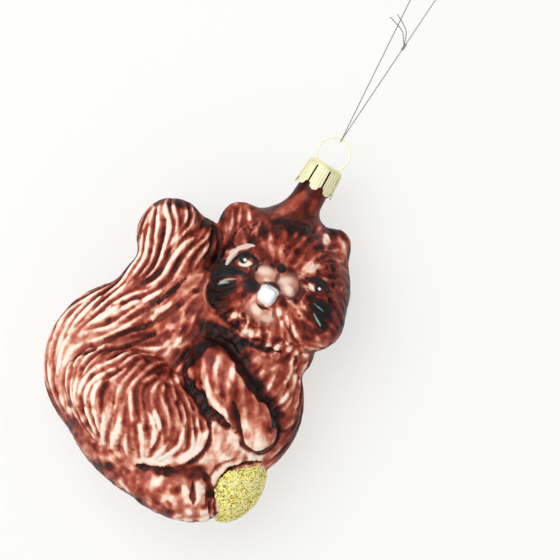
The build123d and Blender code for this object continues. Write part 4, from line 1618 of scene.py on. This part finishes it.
glitter_low = (14.0, -13.5, -96.5)
glitter_high = (31.5, 10.5, -71.5)
axes = sampled(glitter_low, glitter_high, GLITTER_PITCH)
without_nut, _ = figure_distance(*axes, with_nut=False)
nut_field = nut_distance(*axes) - GLITTER_THICKNESS
coat_field = np.maximum(nut_field, -(without_nut + GLITTER_BURIED))
coat_points, coat_faces = mesh_of_field(coat_field, glitter_low, GLITTER_PITCH)
coat_points = coat_points + chance.normal(0, FLAKE_STRAY, coat_points.shape)
glitter_mesh = bpy.data.meshes.new("glitter")
glitter_mesh.from_pydata(in_metres(coat_points).tolist(), [], coat_faces.tolist())
glitter = link_object("acorn_glitter", glitter_mesh)
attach(glitter, "glass")
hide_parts("glitter_coat")
print("glitter faces:", len(coat_faces))

# %% Glitter material
GLITTER_SCALE = [
    (0.0, (0.12, 0.08, 0.004)),
    (0.16, (0.58, 0.44, 0.04)),
    (0.4, (1.0, 0.87, 0.18)),
    (0.7, (1.0, 0.96, 0.36)),
    (1.0, (1.0, 1.0, 0.9)),
]
FLAKES_PER_METRE = 3000.0
FLAKE_TILT = 1.1


def vector_maths(tree, operation, inputs):
    """The vector output of a Vector Math node."""
    return add(tree, "ShaderNodeVectorMath", inputs, operation=operation).outputs[0]


glittery, tree = new_material("glitter")
place = add(tree, "ShaderNodeTexCoord").outputs["Object"]
spread = {"Vector": place, "Scale": FLAKES_PER_METRE}
flakes = add(tree, "ShaderNodeTexVoronoi", spread, feature="F1")
flake_share = add(tree, "ShaderNodeSeparateColor", {0: flakes.outputs["Color"]}).outputs
colour = ramp(tree, flake_share[0], GLITTER_SCALE)
tilt = vector_maths(tree, "ADD", {0: flakes.outputs["Color"], 1: (-0.5, -0.5, -0.5)})
tilt = vector_maths(tree, "SCALE", {0: tilt, "Scale": FLAKE_TILT})
facing = add(tree, "ShaderNodeNewGeometry").outputs["Normal"]
tilted = vector_maths(tree, "NORMALIZE", {0: vector_maths(tree, "ADD", {0: facing, 1: tilt})})
surface(tree, {"Base Color": colour, "Metallic": 0.2, "Roughness": 0.4, "Normal": tilted})
glitter_mesh.materials.append(glittery)
print("glitter nodes:", len(tree.nodes))

# %% [markdown]
# ## Crown cap
#
# The cap is pressed from one thin sheet: a flat top with two holes for the wire, a rounded
# shoulder, and eight ribbed petals with lobed tips, parted by slits. Each petal is a small grid
# that follows its outline, which keeps the ribs and the lobes clean. The sheet then gets its
# thickness, and the wire's holes are cut last.

# %% Cap outline
cap_low, cap_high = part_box("ornament_cap")
CAP_TOP = cap_high.z
CAP_HEIGHT = CAP_TOP - cap_low.z
CAP_SHEET = 0.3 * MM
SKIRT_FLARE = 0.5 * MM
TIP_RADIUS = (cap_high.x - cap_low.x) / 2
SKIRT_RADIUS = TIP_RADIUS - SKIRT_FLARE
SHOULDER = 0.8 * MM
PETALS = 8
PETAL_TURN = math.radians(-92.5)
SLIT = 0.6 * MM
SLIT_DROP = 1.1 * MM
LOBE_HEIGHT = 1.6 * MM
LOBE_STEP = 0.7 * MM
LOBE_HALF = 1.1 * MM
STEP_TOP = CAP_HEIGHT - LOBE_HEIGHT
RIB_DEPTH = 0.08 * MM
RIB_TOP = 0.35 * MM  # below the cap's top, where the ribs begin
RIB_FADE = 0.9 * MM  # over which they grow to their full depth
RIBS_ON_PETAL = 5
RIB_ROUNDING = 0.8
STEP_BEND = 1.4
TIP_SHARE = 0.02  # the least width of a lobe's tip, as a share of the lobe's


def cap_radius(drop):
    """The skirt's radius at a drop below the cap's top."""
    if drop < SHOULDER:
        rise = SHOULDER - drop
        return SKIRT_RADIUS - SHOULDER + math.sqrt(max(SHOULDER**2 - rise**2, 0))
    return SKIRT_RADIUS + SKIRT_FLARE * (drop - SHOULDER) / (CAP_HEIGHT - SHOULDER)


def rib(angle, drop):
    """How far a rib stands out at the angle, none on the flat top."""
    wave = math.cos((angle - PETAL_TURN) * PETALS * RIBS_ON_PETAL)
    fading = min(1.0, max(0.0, (drop - RIB_TOP) / RIB_FADE))
    return RIB_DEPTH * fading * (0.5 + 0.5 * wave) ** RIB_ROUNDING


def half_angle(drop):
    """Half of a petal's width as an angle, at a drop below the cap's top."""
    radius = cap_radius(drop)
    whole = math.pi / PETALS
    if drop <= SLIT_DROP:
        return whole
    body = whole - SLIT / 2 / radius
    if drop <= STEP_TOP:
        return body
    lobe = LOBE_HALF / radius
    if drop <= STEP_TOP + LOBE_STEP:
        share = (drop - STEP_TOP) / LOBE_STEP
        return body + (lobe - body) * math.sin(share * math.pi / 2) ** STEP_BEND
    share = (drop - STEP_TOP - LOBE_STEP) / (LOBE_HEIGHT - LOBE_STEP)
    return lobe * math.sqrt(max(1 - share**2, TIP_SHARE**2))


print("cap height and tip radius, mm:", round(CAP_HEIGHT / MM, 2), round(TIP_RADIUS / MM, 2))

# %% Build the cap's sheet
CROWN_RINGS = (0.02, 0.35, 0.7, 1.0)  # shares of the flat top's radius
COLUMNS = 42  # quads across a petal
SHOULDER_STEPS = 6
BODY_ROWS = 14
STEP_ROWS = 7
LOBE_ROWS = 9
SLIT_START = 0.05 * MM  # how steeply the slits open
SLIT_OPEN = 0.4 * MM
WELD = 0.004 * MM
MIDDLE_GAP = 0.5 * MM


def skirt_point(angle, drop):
    """A point on the outside of the skirt."""
    radius = cap_radius(drop) + rib(angle, drop)
    return (radius * math.cos(angle), radius * math.sin(angle), CAP_TOP - drop)


def add_rows(work, rows):
    """Joins rows of points, all as long as each other, with quads."""
    made = [[work.verts.new(point) for point in row] for row in rows]
    for upper_row, lower_row in zip(made[:-1], made[1:]):
        for index in range(len(upper_row) - 1):
            corners = (upper_row[index], lower_row[index], lower_row[index + 1], upper_row[index + 1])
            work.faces.new(corners)


bends = [step * math.pi / 2 / SHOULDER_STEPS for step in range(1, SHOULDER_STEPS + 1)]
crown_drops = [SHOULDER * (1 - math.cos(bend)) for bend in bends] + [SLIT_DROP]
petal_drops = [SLIT_DROP, SLIT_DROP + SLIT_START]
petal_drops += list(np.linspace(SLIT_DROP + SLIT_OPEN, STEP_TOP, BODY_ROWS))
petal_drops += list(np.linspace(STEP_TOP, STEP_TOP + LOBE_STEP, STEP_ROWS))[1:]
petal_drops += list(np.linspace(STEP_TOP + LOBE_STEP, CAP_HEIGHT, LOBE_ROWS))[1:]
flat_radius = SKIRT_RADIUS - SHOULDER
shares = np.linspace(-1, 1, COLUMNS + 1)
work = bmesh.new()
for petal in range(PETALS):
    middle = PETAL_TURN + petal * 2 * math.pi / PETALS
    full = [middle + share * math.pi / PETALS for share in shares]
    rows = []
    for ring_share in CROWN_RINGS:
        ring = ring_share * flat_radius
        rows.append([(ring * math.cos(a), ring * math.sin(a), CAP_TOP) for a in full])
    rows += [[skirt_point(a, drop) for a in full] for drop in crown_drops]
    add_rows(work, rows)
    rows = []
    for drop in petal_drops:
        reach = half_angle(drop)
        rows.append([skirt_point(middle + share * reach, drop) for share in shares])
    add_rows(work, rows)
bmesh.ops.remove_doubles(work, verts=work.verts, dist=WELD)
in_middle = {v for v in work.verts if v.co.xy.length < MIDDLE_GAP}
rim_edges = [e for e in work.edges if e.is_boundary and in_middle.issuperset(e.verts)]
bmesh.ops.contextual_create(work, geom=rim_edges)
bmesh.ops.recalc_face_normals(work, faces=work.faces)
cap = mesh_object("crown_cap", work)
print("cap faces:", len(cap.data.polygons))

# %% Thicken the cap and cut the wire's holes
LEG_SIDE = 2.6 * MM
HOLE_RADIUS = 0.55 * MM
HOLE_SIDES = 32
PUNCH_LENGTH = 8 * CAP_SHEET
TOP_GROOVE_SHADE = 0.3  # the share of painted groove shade on the flat top, which has no ribs
SHARP_ANGLE = math.radians(40)


def apply_modifiers(thing):
    """Keeps the modified mesh and drops the modifiers."""
    bpy.context.view_layer.update()
    shown = thing.evaluated_get(bpy.context.evaluated_depsgraph_get())
    finished = bpy.data.meshes.new_from_object(shown)
    thing.modifiers.clear()
    thing.data = finished
    return finished


thicken = cap.modifiers.new("sheet", "SOLIDIFY")
thicken.thickness = CAP_SHEET
thicken.offset = -1
apply_modifiers(cap)
for side in (-1, 1):
    work = bmesh.new()
    bmesh.ops.create_cone(
        work, cap_ends=True, segments=HOLE_SIDES, radius1=HOLE_RADIUS, radius2=HOLE_RADIUS,
        depth=PUNCH_LENGTH, matrix=Matrix.Translation((side * LEG_SIDE, 0, CAP_TOP)),
    )
    punch = mesh_object("punch", work)
    cut = cap.modifiers.new("hole", "BOOLEAN")
    cut.operation = "DIFFERENCE"
    cut.solver = "EXACT"
    cut.object = punch
    apply_modifiers(cap)
    bpy.data.objects.remove(punch)
shaded_smooth(cap.data)
cap.data.set_sharp_from_angle(angle=SHARP_ANGLE)
# Painted shade between the cap's ribs: how much of it each point takes.
groove_shade_share = cap.data.attributes.new("groove_shade_share", "FLOAT", "POINT")
for vertex, mark in zip(cap.data.vertices, groove_shade_share.data):
    x, y, z = vertex.co
    drop = CAP_TOP - z
    mark.value = TOP_GROOVE_SHADE
    if drop > SHOULDER / 2:
        mark.value = 1 - rib(math.atan2(y, x), drop) / RIB_DEPTH
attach(cap, "cap")
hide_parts("ornament_cap")
print("cap faces with thickness:", len(cap.data.polygons))

# %% [markdown]
# ## Pale gold metal
#
# Cap and ring are plated in the same pale gold. The cap is thin pressed sheet, a little uneven
# and duller, and the wire is drawn and brighter. Both take the two shared groups with values of
# their own.

# %% Metal materials
PALE_GOLD = (0.97, 0.93, 0.62)
DULL_GOLD = (0.90, 0.84, 0.50)
# The colour of the painted shade between the cap's ribs.
GROOVE_SHADE_COLOUR = (0.42, 0.35, 0.16)
PLATING = 0.35  # how metallic: thin plating over a dull sheet
GRAIN_HEIGHT = 0.0001


def gold_material(name, grain_size, low, high, strength, groove_shade=0.0):
    """Plated metal with fine grain and duller patches, and painted shade between the ribs."""
    metal, tree = new_material(name)
    grain = placed(tree, fine_grain, Size=grain_size, Low=low, High=high)
    dull = placed(tree, worn_patches, Size=500.0, Threshold=0.5, Softness=0.2)
    colour = mixed(tree, dull["Mask"], (*PALE_GOLD, 1), (*DULL_GOLD, 1))
    if groove_shade:
        # Painted shade between the ribs.
        between = maths(tree, "MULTIPLY", read_layer(tree, "groove_shade_share"), groove_shade)
        colour = mixed(tree, between, colour, (*GROOVE_SHADE_COLOUR, 1))
    surface(tree, {
        "Base Color": colour,
        "Metallic": PLATING,
        "Roughness": grain["Value"],
        "Normal": bumps(tree, grain["Height"], strength, GRAIN_HEIGHT),
    })
    return metal


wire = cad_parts["hanger_wire"]
cap_gold = gold_material(
    "cap_gold", grain_size=1500.0, low=0.42, high=0.60, strength=0.4, groove_shade=0.5
)
wire_gold = gold_material("wire_gold", grain_size=2500.0, low=0.16, high=0.30, strength=0.15)
for piece, gold in ((cap, cap_gold), (wire, wire_gold)):
    piece.data.materials.clear()
    piece.data.materials.append(gold)
shaded_smooth(wire.data)
print("metal on:", cap.name, wire.name)

# %% [markdown]
# ## Knot
#
# The thread is tied on itself just above the ring, and its two cut ends stay long. The knot is
# drawn as a few tight turns round the strand, and each end is a curve that leaves the knot and
# bows a little. All are the same two-ply strand, in one mesh.

# %% Tie the knot
KNOT_TURNS = 4.5
TURN_STEPS = 10
KNOT_RADIUS = 0.38 * MM
KNOT_ENDS = 0.75  # the radius at the knot's ends, as a share of its middle's
END_LENGTH = 9.0 * MM
END_BOW = 1.76 * MM
END_STEP = 0.2 * MM  # how far the two ends part, front and back
TURNS_START = 0.08  # shares of the knot's length where its turns start, and how far they run
TURNS_RUN = 0.84
END_LEAN = math.radians(48)
END_SPREAD = math.radians(14)

foot, head = Vector(KNOT_FOOT), Vector(KNOT_HEAD)
axis = (head - foot).normalized()
across = axis.cross(Vector((0, 1, 0))).normalized()
beside = axis.cross(across)
turns = []
for step in range(int(KNOT_TURNS * TURN_STEPS) + 1):
    share = step / (KNOT_TURNS * TURN_STEPS)
    angle = 2 * math.pi * KNOT_TURNS * share
    swell = KNOT_RADIUS * (KNOT_ENDS + (1 - KNOT_ENDS) * math.sin(math.pi * share))
    centre = foot.lerp(head, TURNS_START + TURNS_RUN * share)
    turns.append(centre + (across * math.cos(angle) + beside * math.sin(angle)) * swell)
knot_middle = foot.lerp(head, 0.5)
work = bmesh.new()
two_plies(work, spline_path([foot, knot_middle, head]), THREAD_DIAMETER)
two_plies(work, spline_path(turns), THREAD_DIAMETER)
for side in (-1, 1):
    lean = END_LEAN + side * END_SPREAD / 2
    reach = Vector((-math.sin(lean), 0, math.cos(lean)))
    square_off = Vector((math.cos(lean), 0, math.sin(lean)))
    forward_step = Vector((0, -side * END_STEP, 0))
    tip = knot_middle + reach * END_LENGTH
    bow = knot_middle + reach * END_LENGTH / 2 + square_off * END_BOW
    start = knot_middle + Vector((0, -KNOT_RADIUS / 2, 0))
    route = [start, start.lerp(bow, 0.5) + forward_step, bow, tip]
    two_plies(work, spline_path(route), THREAD_DIAMETER)
knot = mesh_object("tied_knot", work)
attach(knot, "thread")
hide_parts("thread_knot")
print("knot faces:", len(knot.data.polygons))

# %% Thread material
THREAD_GREY = (0.17, 0.17, 0.175)
THREAD_PALE = (0.36, 0.36, 0.36)
thread_material, tree = new_material("thread")
fibres = placed(tree, fine_grain, Size=3500.0, Low=0.6, High=0.9)
colour = mixed(tree, fibres["Height"], (*THREAD_GREY, 1), (*THREAD_PALE, 1))
surface(tree, {
    "Base Color": colour,
    "Roughness": fibres["Value"],
    "Normal": bumps(tree, fibres["Height"], 0.5, GRAIN_HEIGHT),
    "Sheen Weight": 0.3,
})
for piece in (thread_loop, knot):
    piece.data.materials.append(thread_material)
print("thread nodes:", len(tree.nodes))

# %% Finish
bpy.context.view_layer.update()
